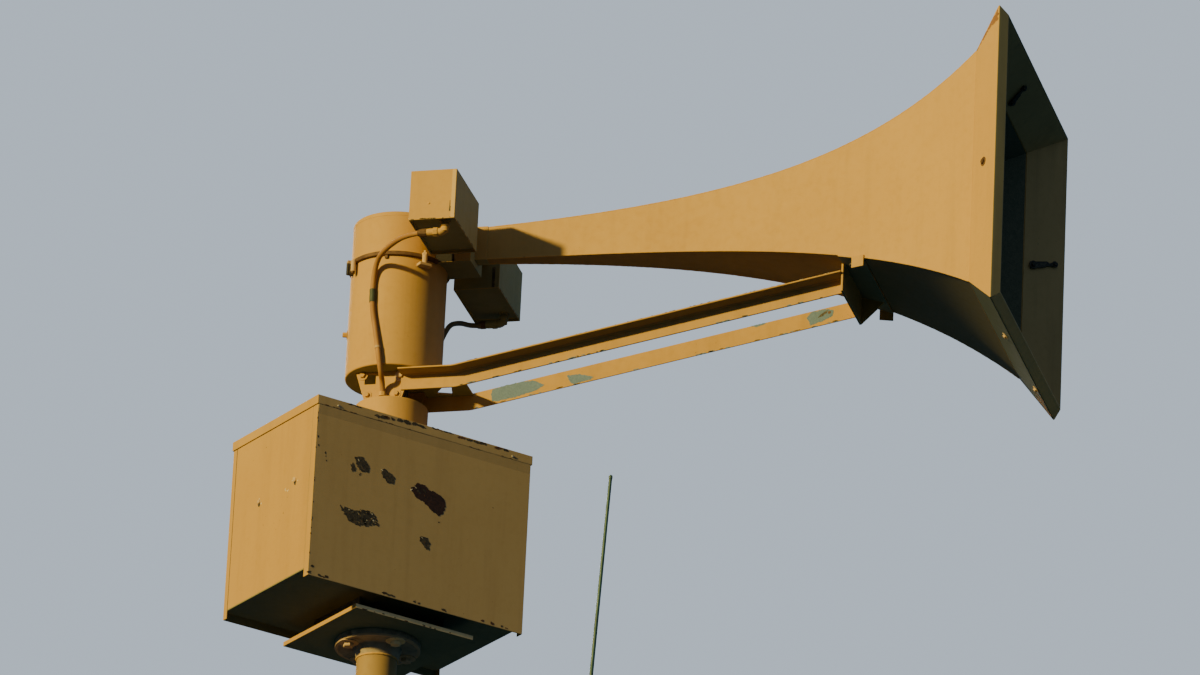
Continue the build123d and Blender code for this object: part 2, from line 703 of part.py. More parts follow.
def make_conduit(points):
    radii = corner_radii(points)
    path = FilletPolyline(*points, radius=radii)
    section = Plane(origin=path @ 0, z_dir=path % 0) * Circle(CONDUIT_RADIUS)
    tube = sweep(section, path=path)
    print("corner radii", [round(r, 1) for r in radii], "length", round(path.length, 1),
          "volume over section and length", round(tube.volume / (section.area * path.length), 4))
    return on_head(tube)


def make_connector(side):
    """Elbow under a valve box, with its sleeve along X."""
    z = BOX_BOTTOM - CONNECTOR_DROP
    y = side * CONNECTOR_Y
    stub = rod(CONNECTOR_RADIUS, z, BOX_BOTTOM + BOX_RECESS, CONNECTOR_X, y)
    sleeve = Pos(CONNECTOR_X - CONNECTOR_REACH / 2, y, z) * (
        Rot(0, 90, 0) * Cylinder(CONNECTOR_RADIUS, CONNECTOR_REACH))
    knuckle = Pos(CONNECTOR_X, y, z) * Sphere(CONNECTOR_RADIUS)
    socket = Pos(CONNECTOR_X - CONNECTOR_REACH / 2 - 5, y, z) * (
        Rot(0, 90, 0) * Cylinder(CONDUIT_RADIUS + SEAM, CONNECTOR_REACH - 10))
    return on_head(stub + sleeve + knuckle - socket)


def make_gland(side):
    gland = ring(GLAND_RADIUS, CONDUIT_RADIUS + SEAM, COLLAR_TOP, COLLAR_TOP + GLAND_HEIGHT,
                 GLAND_X, side * GLAND_Y)
    return on_head(gland)


CONDUIT_START = CONNECTOR_X - CONNECTOR_REACH + CONNECTOR_GRIP
CONDUIT_Z = BOX_BOTTOM - CONNECTOR_DROP
NEAR_ROUTE = (
    (CONDUIT_START, -CONNECTOR_Y, CONDUIT_Z), (118, -CONNECTOR_Y, CONDUIT_Z), (22, -240, 1051),
    (-34, -160, 1030), (-34, -156, 930), (-12, -152, 835), (4, -155, 728),
    (GLAND_X, -GLAND_Y, 700), (GLAND_X, -GLAND_Y, COLLAR_TOP))
FAR_ROUTE = (
    (CONDUIT_START, CONNECTOR_Y, CONDUIT_Z), (131, CONNECTOR_Y, CONDUIT_Z), (119, 236, 1024),
    (104, 150, 966), (52, 156, 806), (10, 155, 728),
    (GLAND_X, GLAND_Y, 700), (GLAND_X, GLAND_Y, COLLAR_TOP))
parts["near_conduit"] = make_conduit(NEAR_ROUTE)
parts["far_conduit"] = make_conduit(FAR_ROUTE)
parts["conduit_fittings"] = Compound([
    make_connector(-1), make_gland(-1), make_connector(1), make_gland(1)])

for name, shape in parts.items():
    export_step(shape, f"parts/{name}.step")
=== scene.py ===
"""Looks of the rotating-horn warning siren on its steel mast.

Metres, in the part's own frame. Pieces are drawn in millimetres through a place matrix: GROUND
for the mast, HEAD for what is measured from the housing's lower edge, HOUSING for the housing's
own heading.
"""

import random
from math import asin, atan2, cos, exp, hypot, pi, radians, sin, sqrt, tan, tau

import bmesh
import bpy
from mathutils import Matrix, Vector, noise


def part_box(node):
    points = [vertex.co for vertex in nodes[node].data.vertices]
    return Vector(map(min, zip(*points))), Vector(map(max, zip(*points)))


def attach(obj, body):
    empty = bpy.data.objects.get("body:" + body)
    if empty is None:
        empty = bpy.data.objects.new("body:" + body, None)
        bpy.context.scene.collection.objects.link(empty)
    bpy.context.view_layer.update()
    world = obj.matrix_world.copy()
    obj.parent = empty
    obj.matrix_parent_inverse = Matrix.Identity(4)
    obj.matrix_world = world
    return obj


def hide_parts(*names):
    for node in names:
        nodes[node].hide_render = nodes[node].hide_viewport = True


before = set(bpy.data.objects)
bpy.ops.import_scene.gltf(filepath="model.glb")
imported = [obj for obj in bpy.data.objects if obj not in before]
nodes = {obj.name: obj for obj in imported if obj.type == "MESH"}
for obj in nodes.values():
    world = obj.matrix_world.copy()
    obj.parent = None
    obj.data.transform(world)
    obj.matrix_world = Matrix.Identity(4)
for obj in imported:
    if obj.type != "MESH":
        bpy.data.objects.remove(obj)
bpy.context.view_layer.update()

# Photograph and camera
IMAGE_WIDTH = 1200
IMAGE_HEIGHT = 675
AXIS_PIXEL = (378.72, 628.3)
CAMERA_DISTANCE = 26.516
CAMERA_FOCAL_PIXELS = 9470.0
CAMERA_AZIMUTH = radians(105.01)
CAMERA_PITCH = radians(23.04)
CAMERA_ROLL = radians(2.81)
SENSOR = 36.0

# Light
SUN_AZIMUTH = radians(235.6)
SUN_ELEVATION = radians(14.4)
BACKDROP = (0.52, 0.61, 0.71)
FLOOR_RADIUS = 2.8

MM = 0.001


def moved(place, x, y, z):
    """The place shifted along its own axes."""
    return place @ Matrix.Translation((x, y, z))


def spun(place, angle, axis="Z"):
    """The place turned about one of its own axes."""
    return place @ Matrix.Rotation(angle, 4, axis)


# Places
HOUSING_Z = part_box("housing_front_panel")[0].z
AXIS_POINT = Vector((0.0, 0.0, HOUSING_Z))
GROUND = Matrix.Scale(MM, 4)
HEAD = Matrix.Translation(AXIS_POINT) @ GROUND
PLATE = spun(HEAD, radians(47.3))
HOUSING = moved(PLATE, -17, 6, 0)
OUTWARD = {side: HOUSING.to_3x3() @ Vector(way) for side, way in (("front", (0, -1, 0)), ("back", (0, 1, 0)),
                                                                 ("left", (-1, 0, 0)), ("right", (1, 0, 0)))}

# Sizes that the drawn pieces share, in millimetres
HALF_W = 353.0
HALF_D = 226.0
LID_TOP = 539.0
RIM_FOOT = 512.0
THROAT_Z = 1154.0
HORN_START = 260.0
KINK_X = 1735.0
MOUTH_X = 1817.0
RIM_X = 1840.0
MOUTH_HALF = 443.0
RIM_HALF = 420.0
KINK_W = 348.0
KINK_H = 350.0
HORN_SHEET = 3.0
DRUM_R = 137.0
DRUM_FOOT = 745
DRUM_TOP = 1204
BAND_R = 137.1
PLATE_HALF = 193
ANTENNA_X = 555
ARM_Z = -1135
BOX_FACE = 260
BOX_SIDE = 371
NECK_FACE = 83.0
STRUT_T = 5.0
STRUT_LINE = ((49.0, 685.0), (207.0, 685.0), (1319.0, 906.5))
STRUT_RISE = (906.5 - 685.0) / (1319.0 - 207.0)

X, Y, Z = (1, 0, 0), (0, 1, 0), (0, 0, 1)


# Camera, light and floor

def placed(name, data):
    """A new object of the scene."""
    made = bpy.data.objects.new(name, data)
    bpy.context.scene.collection.objects.link(made)
    return made


def heading(azimuth, elevation):
    return Vector((cos(azimuth) * cos(elevation), sin(azimuth) * cos(elevation), sin(elevation)))


def set_camera():
    """The camera looks up at the head as in the photograph."""
    forward = heading(CAMERA_AZIMUTH, CAMERA_PITCH)
    level_right = Vector((sin(CAMERA_AZIMUTH), -cos(CAMERA_AZIMUTH), 0.0))
    level_up = level_right.cross(forward)
    right = level_right * cos(CAMERA_ROLL) + level_up * sin(CAMERA_ROLL)
    up = level_up * cos(CAMERA_ROLL) - level_right * sin(CAMERA_ROLL)
    across = AXIS_PIXEL[0] - IMAGE_WIDTH / 2
    above = IMAGE_HEIGHT / 2 - AXIS_PIXEL[1]
    ray = (forward * CAMERA_FOCAL_PIXELS + right * across + up * above).normalized()
    data = bpy.data.cameras.new("camera")
    data.sensor_width = SENSOR
    data.lens = CAMERA_FOCAL_PIXELS / IMAGE_WIDTH * SENSOR
    data.clip_end = 400.0
    camera = placed("camera", data)
    rotation = Matrix((right, up, -forward)).transposed().to_4x4()
    camera.matrix_world = Matrix.Translation(AXIS_POINT - ray * CAMERA_DISTANCE) @ rotation
    bpy.context.scene.camera = camera


def lamp(name, energy, spread, colour, rotation):
    data = bpy.data.lights.new(name, "SUN")
    data.energy = energy
    data.angle = radians(spread)
    data.color = colour
    placed(name, data).rotation_euler = rotation


def set_light():
    """A low warm key from the left, a dim cool dome for fill, and a pale backdrop."""
    towards = heading(SUN_AZIMUTH, SUN_ELEVATION)
    lamp("key", 5.15, 3.2, (1.0, 0.78, 0.25), towards.to_track_quat("Z", "Y").to_euler())
    lamp("back_fill", 1.3, 20.0, (1.0, 0.93, 0.82), (radians(62.0), 0.0, radians(215.0)))
    world = bpy.data.worlds.new("studio")
    world.use_nodes = True
    g = Graph(world.node_tree)
    coords = g.node("TexCoord").outputs["Generated"]
    facing = g.node("VectorMath", {0: coords, 1: (cos(SUN_AZIMUTH), sin(SUN_AZIMUTH), 0.0)}, operation="DOT_PRODUCT")
    side = g.node("MapRange", {"Value": facing.outputs["Value"], "From Min": -1.0}).outputs["Result"]
    tint = g.ramp(side, [(0.0, (0.085, 0.205, 0.370)), (1.0, (0.260, 0.300, 0.380))])
    rise = g.node("SeparateXYZ", {"Vector": coords}).outputs["Z"]
    level = g.node("MapRange", {"Value": rise, "From Min": -1.0}).outputs["Result"]
    glow = g.ramp(level, [(0.47, (0.070, 0.125, 0.130)), (0.53, 0.85), (0.66, 0.75), (1.0, 0.40)])
    dome = g.tree.nodes["Background"]
    g.feed(dome.inputs["Color"], g.mix(1.0, tint, glow, "MULTIPLY"))
    backdrop = g.node("Background", {"Color": BACKDROP})
    seen = g.node("LightPath").outputs["Is Camera Ray"]
    choose = g.node("MixShader", {0: seen, 1: dome.outputs[0], 2: backdrop.outputs[0]})
    g.feed(g.tree.nodes["World Output"].inputs["Surface"], choose.outputs[0])
    bpy.context.scene.world = world


def set_floor():
    mesh = bpy.data.meshes.new("floor")
    ring = [(FLOOR_RADIUS * cos(a * tau / 96), FLOOR_RADIUS * sin(a * tau / 96), 0.0) for a in range(96)]
    mesh.from_pydata(ring, [], [list(range(96))])
    floor = placed("floor", mesh)
    material = bpy.data.materials.new("floor")
    material.use_nodes = True
    shader = material.node_tree.nodes["Principled BSDF"]
    shader.inputs["Base Color"].default_value = (0.52, 0.62, 0.86, 1.0)
    shader.inputs["Roughness"].default_value = 0.9
    mesh.materials.append(material)


# Materials

class Graph:
    """A tree of shader nodes."""

    def __init__(self, tree):
        self.tree = tree

    def feed(self, socket, value):
        """Gives a socket another node's output, or a value."""
        if isinstance(value, bpy.types.NodeSocket):
            self.tree.links.new(value, socket)
        else:
            socket.default_value = (*value, 1.0) if socket.type == "RGBA" else value

    def node(self, kind, inputs=None, **settings):
        made = self.tree.nodes.new("ShaderNode" + kind)
        for key, value in settings.items():
            setattr(made, key, value)
        for socket, value in (inputs or {}).items():
            self.feed(made.inputs[socket], value)
        return made

    def ramp(self, value, stops):
        """Colours or grey levels at places between 0 and 1."""
        made = self.node("ValToRGB", {"Fac": value})
        elements = made.color_ramp.elements
        for place, _ in stops[1:-1]:
            elements.new(place)
        for element, (place, colour) in zip(elements, stops):
            element.position = place
            element.color = (colour,) * 3 + (1.0,) if isinstance(colour, float) else (*colour, 1.0)
        return made.outputs["Color"]

    def mix(self, factor, first, second, blend="MIX"):
        return self.node("Mix", {0: factor, 6: first, 7: second}, data_type="RGBA", blend_type=blend).outputs[2]

    def maths(self, operation, first, second):
        return self.node("Math", {0: first, 1: second}, operation=operation).outputs[0]


class Finish(Graph):
    """The nodes of one material, all read from the object's own coordinates."""

    def __init__(self, name):
        self.material = bpy.data.materials.new(name)
        self.material.use_nodes = True
        super().__init__(self.material.node_tree)
        self.shader = self.tree.nodes["Principled BSDF"]
        self.coords = self.node("TexCoord").outputs["Object"]

    def stretched(self, scale):
        return self.node("Mapping", {"Scale": scale, "Vector": self.coords}).outputs["Vector"]

    def noise(self, scale, detail=4.0, rough=0.55, vector=None, distortion=0.0):
        return self.node("TexNoise", {"Scale": scale, "Detail": detail, "Roughness": rough, "Distortion": distortion,
                                      "Vector": vector or self.coords}).outputs["Fac"]

    def bump(self, height, strength, distance, under=None):
        made = self.node("Bump", {"Strength": strength, "Distance": distance, "Height": height})
        if under:
            self.feed(made.inputs["Normal"], under)
        return made.outputs["Normal"]

    def finish(self, colour, rough, normal):
        for name, value in (("Base Color", colour), ("Roughness", rough), ("Normal", normal)):
            self.feed(self.shader.inputs[name], value)
        return self.material


def shade(colour, factor):
    factors = factor if isinstance(factor, tuple) else (factor,) * 3
    return tuple(c * f for c, f in zip(colour, factors))


def paint(name, light, dark, primer=(0.05, 0.034, 0.022), chip_from=1.0, streak=0.3, gloss=0.62, darker_along_x=None):
    """Old gloss paint: broad fading, run-down dirt, fine mottle, and small chips down to primer."""
    g = Finish(name)
    base = g.ramp(g.noise(2.1, 5.0, 0.6), [(0.30, dark), (0.68, light)])
    mottle = g.noise(46.0, 6.0, 0.65)
    base = g.mix(g.ramp(mottle, [(0.50, 0.0), (0.80, 0.20)]), base, shade(dark, 0.72))
    runs = g.noise(1.0, 5.0, 0.6, g.stretched((26.0, 26.0, 1.7)))
    base = g.mix(g.ramp(runs, [(0.50, 0.0), (0.82, streak)]), base, shade(dark, 0.62))
    bleached = g.noise(7.0, 6.0, 0.7, distortion=0.6)
    base = g.mix(g.ramp(bleached, [(0.56, 0.0), (0.80, 0.12)]), base, shade(light, 1.22))
    # Optionally a darker olive between two places along X, towards the horn's mouth
    if darker_along_x:
        along = g.node("SeparateXYZ", {"Vector": g.coords}).outputs["X"]
        share = g.node("MapRange", {"Value": along, "From Min": darker_along_x[0], "From Max": darker_along_x[1]}).outputs["Result"]
        base = g.mix(share, base, (0.215, 0.180, 0.085))
    cluster = g.noise(5.0, 3.0, 0.5)
    spots = g.noise(150.0, 4.0, 0.6)
    total = g.maths("ADD", spots, g.maths("MULTIPLY", cluster, 0.4))
    chip = g.ramp(total, [(min(chip_from - 0.02, 0.98), 0.0), (min(chip_from, 1.0), 1.0)])
    base = g.mix(chip, base, primer)
    rough = g.ramp(mottle, [(0.30, gloss), (0.75, gloss + 0.2)])
    g.shader.inputs["Specular IOR Level"].default_value = 0.3
    normal = g.bump(g.noise(2.6, 1.0, 0.4), 0.05, 0.004)
    normal = g.bump(g.noise(520.0, 3.0, 0.6), 0.10, 0.0007, normal)
    normal = g.bump(chip, 0.5, 0.0004, normal)
    return g.finish(base, rough, normal)


def steel(name, light, dark, rust, rust_share=0.5, metallic=0.65, gloss=0.38):
    """Dull galvanised or mill steel with brown bloom."""
    g = Finish(name)
    base = g.ramp(g.noise(34.0, 6.0, 0.62), [(0.32, dark), (0.70, light)])
    bloom = g.noise(13.0, 7.0, 0.7, distortion=0.8)
    base = g.mix(g.ramp(bloom, [(0.62 - 0.25 * rust_share, 0.0), (0.80 - 0.2 * rust_share, 0.9)]), base, rust)
    grain = g.noise(380.0, 4.0, 0.6)
    rough = g.ramp(grain, [(0.30, gloss), (0.72, gloss + 0.27)])
    g.shader.inputs["Metallic"].default_value = metallic
    normal = g.bump(grain, 0.22, 0.0006)
    normal = g.bump(bloom, 0.25, 0.0012, normal)
    return g.finish(base, rough, normal)


def flaked(name, tones, gloss=0.7, depth=0.0012):
    """Bare ground where the paint has come away, in several broken tones."""
    g = Finish(name)
    broken = g.noise(72.0, 7.0, 0.72, distortion=1.2)
    step = 1.0 / (len(tones) + 1)
    base = g.ramp(broken, [(0.28 + i * step * 0.62, tone) for i, tone in enumerate(tones)])
    fine = g.noise(420.0, 4.0, 0.65)
    base = g.mix(g.ramp(fine, [(0.45, 0.0), (0.80, 0.55)]), base, shade(tones[0], 0.5))
    rough = g.ramp(fine, [(0.30, gloss - 0.12), (0.75, gloss + 0.15)])
    normal = g.bump(broken, 0.7, depth)
    normal = g.bump(fine, 0.4, 0.0006, normal)
    return g.finish(base, rough, normal)


def plastic(name, light, dark, gloss=0.4):
    """Smooth overpainted or moulded sheath with dull handling marks."""
    g = Finish(name)
    base = g.ramp(g.noise(11.0, 6.0, 0.65), [(0.32, dark), (0.70, light)])
    marks = g.noise(90.0, 5.0, 0.7, g.stretched((1.0, 1.0, 0.35)))
    base = g.mix(g.ramp(marks, [(0.58, 0.0), (0.80, 0.6)]), base, shade(dark, 0.55))
    rough = g.ramp(marks, [(0.35, gloss), (0.70, gloss + 0.25)])
    normal = g.bump(g.noise(460.0, 3.0, 0.6), 0.18, 0.0005)
    return g.finish(base, rough, normal)


TAN_LIGHT = (0.560, 0.330, 0.088)
TAN_DARK = (0.520, 0.298, 0.076)
# Painted shade: a darker, cooler tint of the tan for the housing's faces that look to the front, away from the key
# light
FRONT_SHADE_TINT = (0.89, 1.10, 1.90)
mast_paint = paint("mast_paint", shade(TAN_LIGHT, (0.72, 0.80, 1.0)), shade(TAN_DARK, (0.66, 0.72, 0.9)), streak=0.5)
housing_paint = paint("housing_paint", shade(TAN_LIGHT, 0.97), shade(TAN_DARK, 0.97), chip_from=0.985)
head_paint = paint("head_paint", shade(TAN_LIGHT, 1.02), TAN_DARK, chip_from=0.99)
horn_paint = paint("horn_paint", shade(TAN_LIGHT, 1.03), shade(TAN_DARK, 1.03), streak=0.22)
strut_paint = paint("strut_paint", TAN_LIGHT, shade(TAN_DARK, 0.95), chip_from=0.975, streak=0.35)
weld_paint = paint("weld_paint", shade(TAN_LIGHT, 1.12), TAN_LIGHT, chip_from=0.97)
# Bare grey-green metal inside the horn, made very dark: partly painted shade of the deep inside
inside_bare_and_shade = flaked("horn_interior_bare_and_shade", [(0.085, 0.095, 0.050), (0.115, 0.120, 0.064), (0.150, 0.145, 0.078)], 0.8)
# Painted shade: the front-facing faces of the housing take this darker, cooler copy of the tan
front_shaded_tan = paint("front_shaded_tan", shade(TAN_LIGHT, FRONT_SHADE_TINT), shade(TAN_DARK, FRONT_SHADE_TINT), chip_from=0.985)
# Painted shade: a darker, cooler copy of the tan for the horn's bottom sheet and the struts' undersides, turning
# darker still towards the mouth
bottom_shade_tan = paint("bottom_shade_tan", shade(TAN_DARK, (0.66, 0.76, 0.95)), shade(TAN_DARK, (0.54, 0.64, 0.85)),
                     chip_from=0.99, darker_along_x=(1.15, 1.62))
# Painted light: a lighter tan for the lips' inner faces, which lie in shade
lip_inner_painted_light = paint("lip_inner_painted_light", (0.640, 0.420, 0.160), (0.520, 0.340, 0.130), chip_from=0.98, streak=0.4, gloss=0.7)
# A dark olive for the folded rims of the near, far and top lips
rim_fold_olive = paint("rim_fold_olive", (0.175, 0.170, 0.100), (0.130, 0.128, 0.076), chip_from=0.96, streak=0.4,
                    gloss=0.7)
# Painted shade: a darker, greener copy of the tan for faces that look down or into the housing
underside_shade_tan = paint("underside_shade_tan", (0.255, 0.250, 0.125), (0.205, 0.200, 0.100), chip_from=0.97, gloss=0.7)
# Painted shade: a darker, cooler copy of the tan for the throat's and valve boxes' faces that look away from the key
# light
side_shade_tan = paint("side_shade_tan", (0.430, 0.405, 0.170), (0.385, 0.360, 0.150), chip_from=0.99)
# Painted light: a much lighter tan for faces in shade that should look sunlit, the mounting plate's front edge and
# one flange bolt
painted_light_tan = paint("painted_light_tan", (0.98, 0.74, 0.36), (0.90, 0.64, 0.28), chip_from=0.95, streak=0.4)
# Painted highlight: a lighter tan for a strip along each valve box's front edge
edge_strip_highlight = paint("edge_strip_highlight", (0.66, 0.44, 0.17), (0.62, 0.41, 0.15), chip_from=0.98, streak=0.2)
# Painted light: a bright, strong tan that lifts shaded faces, the bottom lip's folded rim and the horn bracket's
# faces away from the key light
painted_light_fold = paint("painted_light_fold", (0.92, 0.50, 0.14), (0.72, 0.42, 0.14), chip_from=0.98)
# Painted shade: a dark olive for the bottom lip's outer face
lip_outer_painted_shade = paint("lip_outer_painted_shade", (0.095, 0.115, 0.090), (0.075, 0.090, 0.070), chip_from=0.96, streak=0.4,
                    gloss=0.7)
rust_paint = paint("rust_paint", (0.300, 0.150, 0.055), (0.200, 0.090, 0.034), (0.06, 0.025, 0.012), 0.93, 0.5, 0.7)
# Dark steel for nuts, screws and the rotor's clamp band; on the band it is also painted shade below the lit top bead
dark_steel_and_band_shade = steel("dark_steel_and_band_shade", (0.190, 0.105, 0.046), (0.085, 0.042, 0.018), (0.060, 0.026, 0.010), 0.5, 0.3, 0.6)
flange_steel = steel("flange_steel", (0.46, 0.36, 0.22), (0.30, 0.23, 0.14), (0.150, 0.085, 0.040), 0.35, 0.25, 0.6)
# Tan for bolts, posts and screw heads; also a painted highlight ring on the flange's lower rim
bolt_tan_and_rim_highlight = paint("bolt_tan_and_rim_highlight", (0.62, 0.44, 0.24), (0.50, 0.33, 0.16), chip_from=0.95, gloss=0.55)
bare_steel = steel("bare_steel", (0.34, 0.31, 0.25), (0.17, 0.14, 0.10), (0.115, 0.058, 0.024), 0.6)
bright_steel = steel("bright_steel", (0.62, 0.58, 0.48), (0.40, 0.36, 0.28), (0.22, 0.13, 0.06), 0.15)
galvanised = steel("galvanised", (0.50, 0.50, 0.47), (0.34, 0.34, 0.32), (0.20, 0.13, 0.07), 0.1, gloss=0.45)
# Painted shadow: a near black for a patch on the throat
painted_shadow_black = flaked("painted_shadow_black", [(0.007, 0.005, 0.003), (0.010, 0.007, 0.004), (0.014, 0.010, 0.006)], 0.85)
# Dark primer where paint has flaked, also used for painted shadow and painted shade: behind a neck bolt and along the
# valve boxes' bottom edges
primer_and_painted_shadow = flaked("primer_and_painted_shadow", [(0.020, 0.016, 0.010), (0.036, 0.029, 0.017), (0.062, 0.052, 0.031),
                                     (0.16, 0.12, 0.06)])
primer_red = flaked("primer_red", [(0.013, 0.005, 0.004), (0.024, 0.009, 0.006), (0.050, 0.018, 0.010)])
rust_line = flaked("rust_line", [(0.035, 0.016, 0.008), (0.085, 0.036, 0.014), (0.16, 0.075, 0.028)])
bare_patch = flaked("bare_patch", [(0.062, 0.128, 0.212), (0.076, 0.150, 0.246), (0.088, 0.168, 0.266)], 0.55, 0.0002)
chip_light = flaked("chip_light", [(0.55, 0.45, 0.28), (0.68, 0.60, 0.42), (0.74, 0.68, 0.52)], 0.6, 0.0005)
# Dark seams, and the thin line under the lid's front rim, which is also painted shade of the rim
seam_and_rim_shade = flaked("seam_and_rim_shade", [(0.070, 0.042, 0.018), (0.110, 0.068, 0.030), (0.150, 0.095, 0.045)], 0.8, 0.0005)
conduit_paint = plastic("conduit_paint", (0.42, 0.215, 0.060), (0.30, 0.145, 0.040), 0.6)
# Painted shade: a darker, greener copy of the conduit colour for the far conduit
conduit_shade_tone = plastic("conduit_shade_tone", (0.150, 0.135, 0.070), (0.100, 0.090, 0.048), 0.6)
tape_green = plastic("tape_green", (0.055, 0.075, 0.040), (0.035, 0.048, 0.028), 0.5)
whip_plastic = plastic("whip_plastic", (0.040, 0.115, 0.105), (0.022, 0.060, 0.055), 0.35)
whip_grey = plastic("whip_grey", (0.20, 0.24, 0.22), (0.12, 0.15, 0.14), 0.45)


# Drawing tools: each makes one closed part as a mesh of its own

def axes(origin, x, y):
    """The matrix of a local frame given in the parent's millimetres."""
    x = Vector(x).normalized()
    z = x.cross(Vector(y)).normalized()
    y = z.cross(x)
    return Matrix.Translation(origin) @ Matrix((x, y, z)).transposed().to_4x4()


def aim(origin, direction):
    """A local frame whose Z runs along direction."""
    z = Vector(direction).normalized()
    side = Vector((0, 0, 1)) if abs(z.z) < 0.9 else Vector((1, 0, 0))
    x = side.cross(z).normalized()
    return Matrix.Translation(origin) @ Matrix((x, z.cross(x), z)).transposed().to_4x4()


def rounded(part, width, segments=2):
    """Rounds the part's sharp edges by width millimetres."""
    edges = [e for e in part.edges if len(e.link_faces) == 2 and e.calc_face_angle(0.0) > radians(35.0)]
    bmesh.ops.bevel(part, geom=edges, offset=width * MM, segments=segments, profile=0.5, affect="EDGES",
                    clamp_overlap=True)
    return part


def box(place, low, high, bevel=0.8, segments=2):
    part = bmesh.new()
    bmesh.ops.create_cube(part, size=1.0)
    for v in part.verts:
        v.co = place @ Vector([low[i] + (v.co[i] + 0.5) * (high[i] - low[i]) for i in range(3)])
    return rounded(part, bevel, segments)


def prism(place, outline, z0, z1, bevel=0.0):
    """A flat outline in the place's XY, made solid between two heights."""
    part = bmesh.new()
    low, high = ([part.verts.new(place @ Vector((x, y, z))) for x, y in outline] for z in (z0, z1))
    part.faces.new(low[::-1])
    part.faces.new(high)
    for i in range(len(outline)):
        j = (i + 1) % len(outline)
        part.faces.new((low[i], low[j], high[j], high[i]))
    bmesh.ops.recalc_face_normals(part, faces=part.faces)
    return rounded(part, bevel) if bevel else part


def lathe(place, profile, segments, closed=False):
    """A profile of radius and height turned about the place's Z."""
    part = bmesh.new()
    turns = [tau * i / segments for i in range(segments)]
    rings = [[part.verts.new(place @ Vector((radius * cos(a), radius * sin(a), height)))
              for a in (turns if radius else turns[:1])] for radius, height in profile]
    for lower, upper in zip(rings, rings[1:] + rings[:1] if closed else rings[1:]):
        for i in range(segments):
            j = (i + 1) % segments
            corners = dict.fromkeys((lower[i % len(lower)], lower[j % len(lower)],
                                     upper[j % len(upper)], upper[i % len(upper)]))
            if len(corners) > 2:
                part.faces.new(list(corners))
    return part


def section_along(rings, closed_path=False):
    """Skins a list of equal rings of points and closes its two ends."""
    part = bmesh.new()
    made = [[part.verts.new(p) for p in ring] for ring in rings]
    count = len(made[0])
    for lower, upper in zip(made, made[1:] + made[:1] if closed_path else made[1:]):
        for i in range(count):
            j = (i + 1) % count
            part.faces.new((lower[i], lower[j], upper[j], upper[i]))
    if not closed_path:
        part.faces.new(made[0][::-1])
        part.faces.new(made[-1])
    return part


def bead(place, points, radius, seed=1, wobble=0.18, sides=8):
    """A weld bead or rolled edge: a thin uneven tube along points."""
    rng = random.Random(seed)
    points = [Vector(p) for p in points]
    rings = []
    for i, point in enumerate(points):
        before = points[max(i - 1, 0)]
        after = points[min(i + 1, len(points) - 1)]
        z = (after - before).normalized()
        side = Vector((0, 0, 1)) if abs(z.z) < 0.8 else Vector((1, 0, 0))
        x = side.cross(z).normalized()
        y = z.cross(x)
        r = radius * (1 + rng.uniform(-wobble, wobble))
        rings.append([place @ (point + x * r * cos(a * tau / sides) + y * r * sin(a * tau / sides))
                      for a in range(sides)])
    return section_along(rings)


def between(start, end, step):
    """Points from start to end, about step apart."""
    start, end = Vector(start), Vector(end)
    count = max(1, round((end - start).length / step))
    return [start.lerp(end, i / count) for i in range(count + 1)]


def patch(place, outline, seed, ragged=2.0, proud=0.35):
    """A ragged thin scale lying on the place's XY plane, from a rough outline."""
    points = []
    for i, start in enumerate(outline):
        start, end = Vector(start), Vector(outline[(i + 1) % len(outline)])
        along = end - start
        if along.length < 0.01:
            continue
        across = Vector((-along.y, along.x)).normalized()
        count = max(2, min(24, round(along.length / 2.2)))
        for k in range(count):
            spot = start.lerp(end, k / count)
            key = Vector((spot.x * 0.16, spot.y * 0.16, seed * 7.3))
            shift = noise.noise(key) + 0.7 * noise.noise(key * 3.1)
            points.append(tuple(spot + across * ragged * 1.5 * shift))
    return prism(place, points, -0.6, proud)


def inside(outline, x, y):
    """Whether a point lies within an outline."""
    within = False
    for (x0, y0), (x1, y1) in zip(outline, outline[1:] + outline[:1]):
        if (y0 > y) != (y1 > y) and x < (x1 - x0) * (y - y0) / (y1 - y0) + x0:
            within = not within
    return within


def scales(outline, count, small, large, seed):
    """Rough outlines of small paint scales scattered within an outline."""
    rng = random.Random(seed)
    xs, ys = [q[0] for q in outline], [q[1] for q in outline]
    made = []
    while len(made) < count:
        x, y = rng.uniform(min(xs), max(xs)), rng.uniform(min(ys), max(ys))
        if inside(list(outline), x, y):
            size = rng.uniform(small, large)
            made.append(scale_outline(x, y, size, size * rng.uniform(0.3, 0.7), rng.uniform(-1.0, 0.3), rng.random()))
    return made


def scale_outline(cx, cy, length, width, turn, seed):
    """A lopsided oval outline for a paint scale."""
    rng = random.Random(seed)
    points = []
    for i in range(9):
        a = tau * i / 9
        r = rng.uniform(0.72, 1.12)
        x = length / 2 * r * cos(a)
        y = width / 2 * r * sin(a)
        points.append((cx + x * cos(turn) - y * sin(turn), cy + x * sin(turn) + y * cos(turn)))
    return points


def bolt_head(place, across, height, washer=0.0):
    """A hexagon head with a chamfered top on an optional washer, standing on the place's XY plane."""
    r = across / sqrt(3)
    parts = [lathe(place, [(0, washer - 0.2), (r, washer - 0.2), (r, washer + height * 0.8),
                           (r * 0.86, washer + height), (0, washer + height)], 6)]
    if washer:
        w = across * 1.02
        parts.append(lathe(place, [(0, -0.3), (w, -0.3), (w, washer * 0.75), (w * 0.95, washer), (0, washer)], 32))
    return parts


def screw_head(place, radius, height):
    """A low domed screw head."""
    return [lathe(place, [(0, -0.3), (radius, -0.3), (radius, height * 0.35), (radius * 0.85, height * 0.75),
                          (radius * 0.5, height), (0, height * 1.05)], 20)]


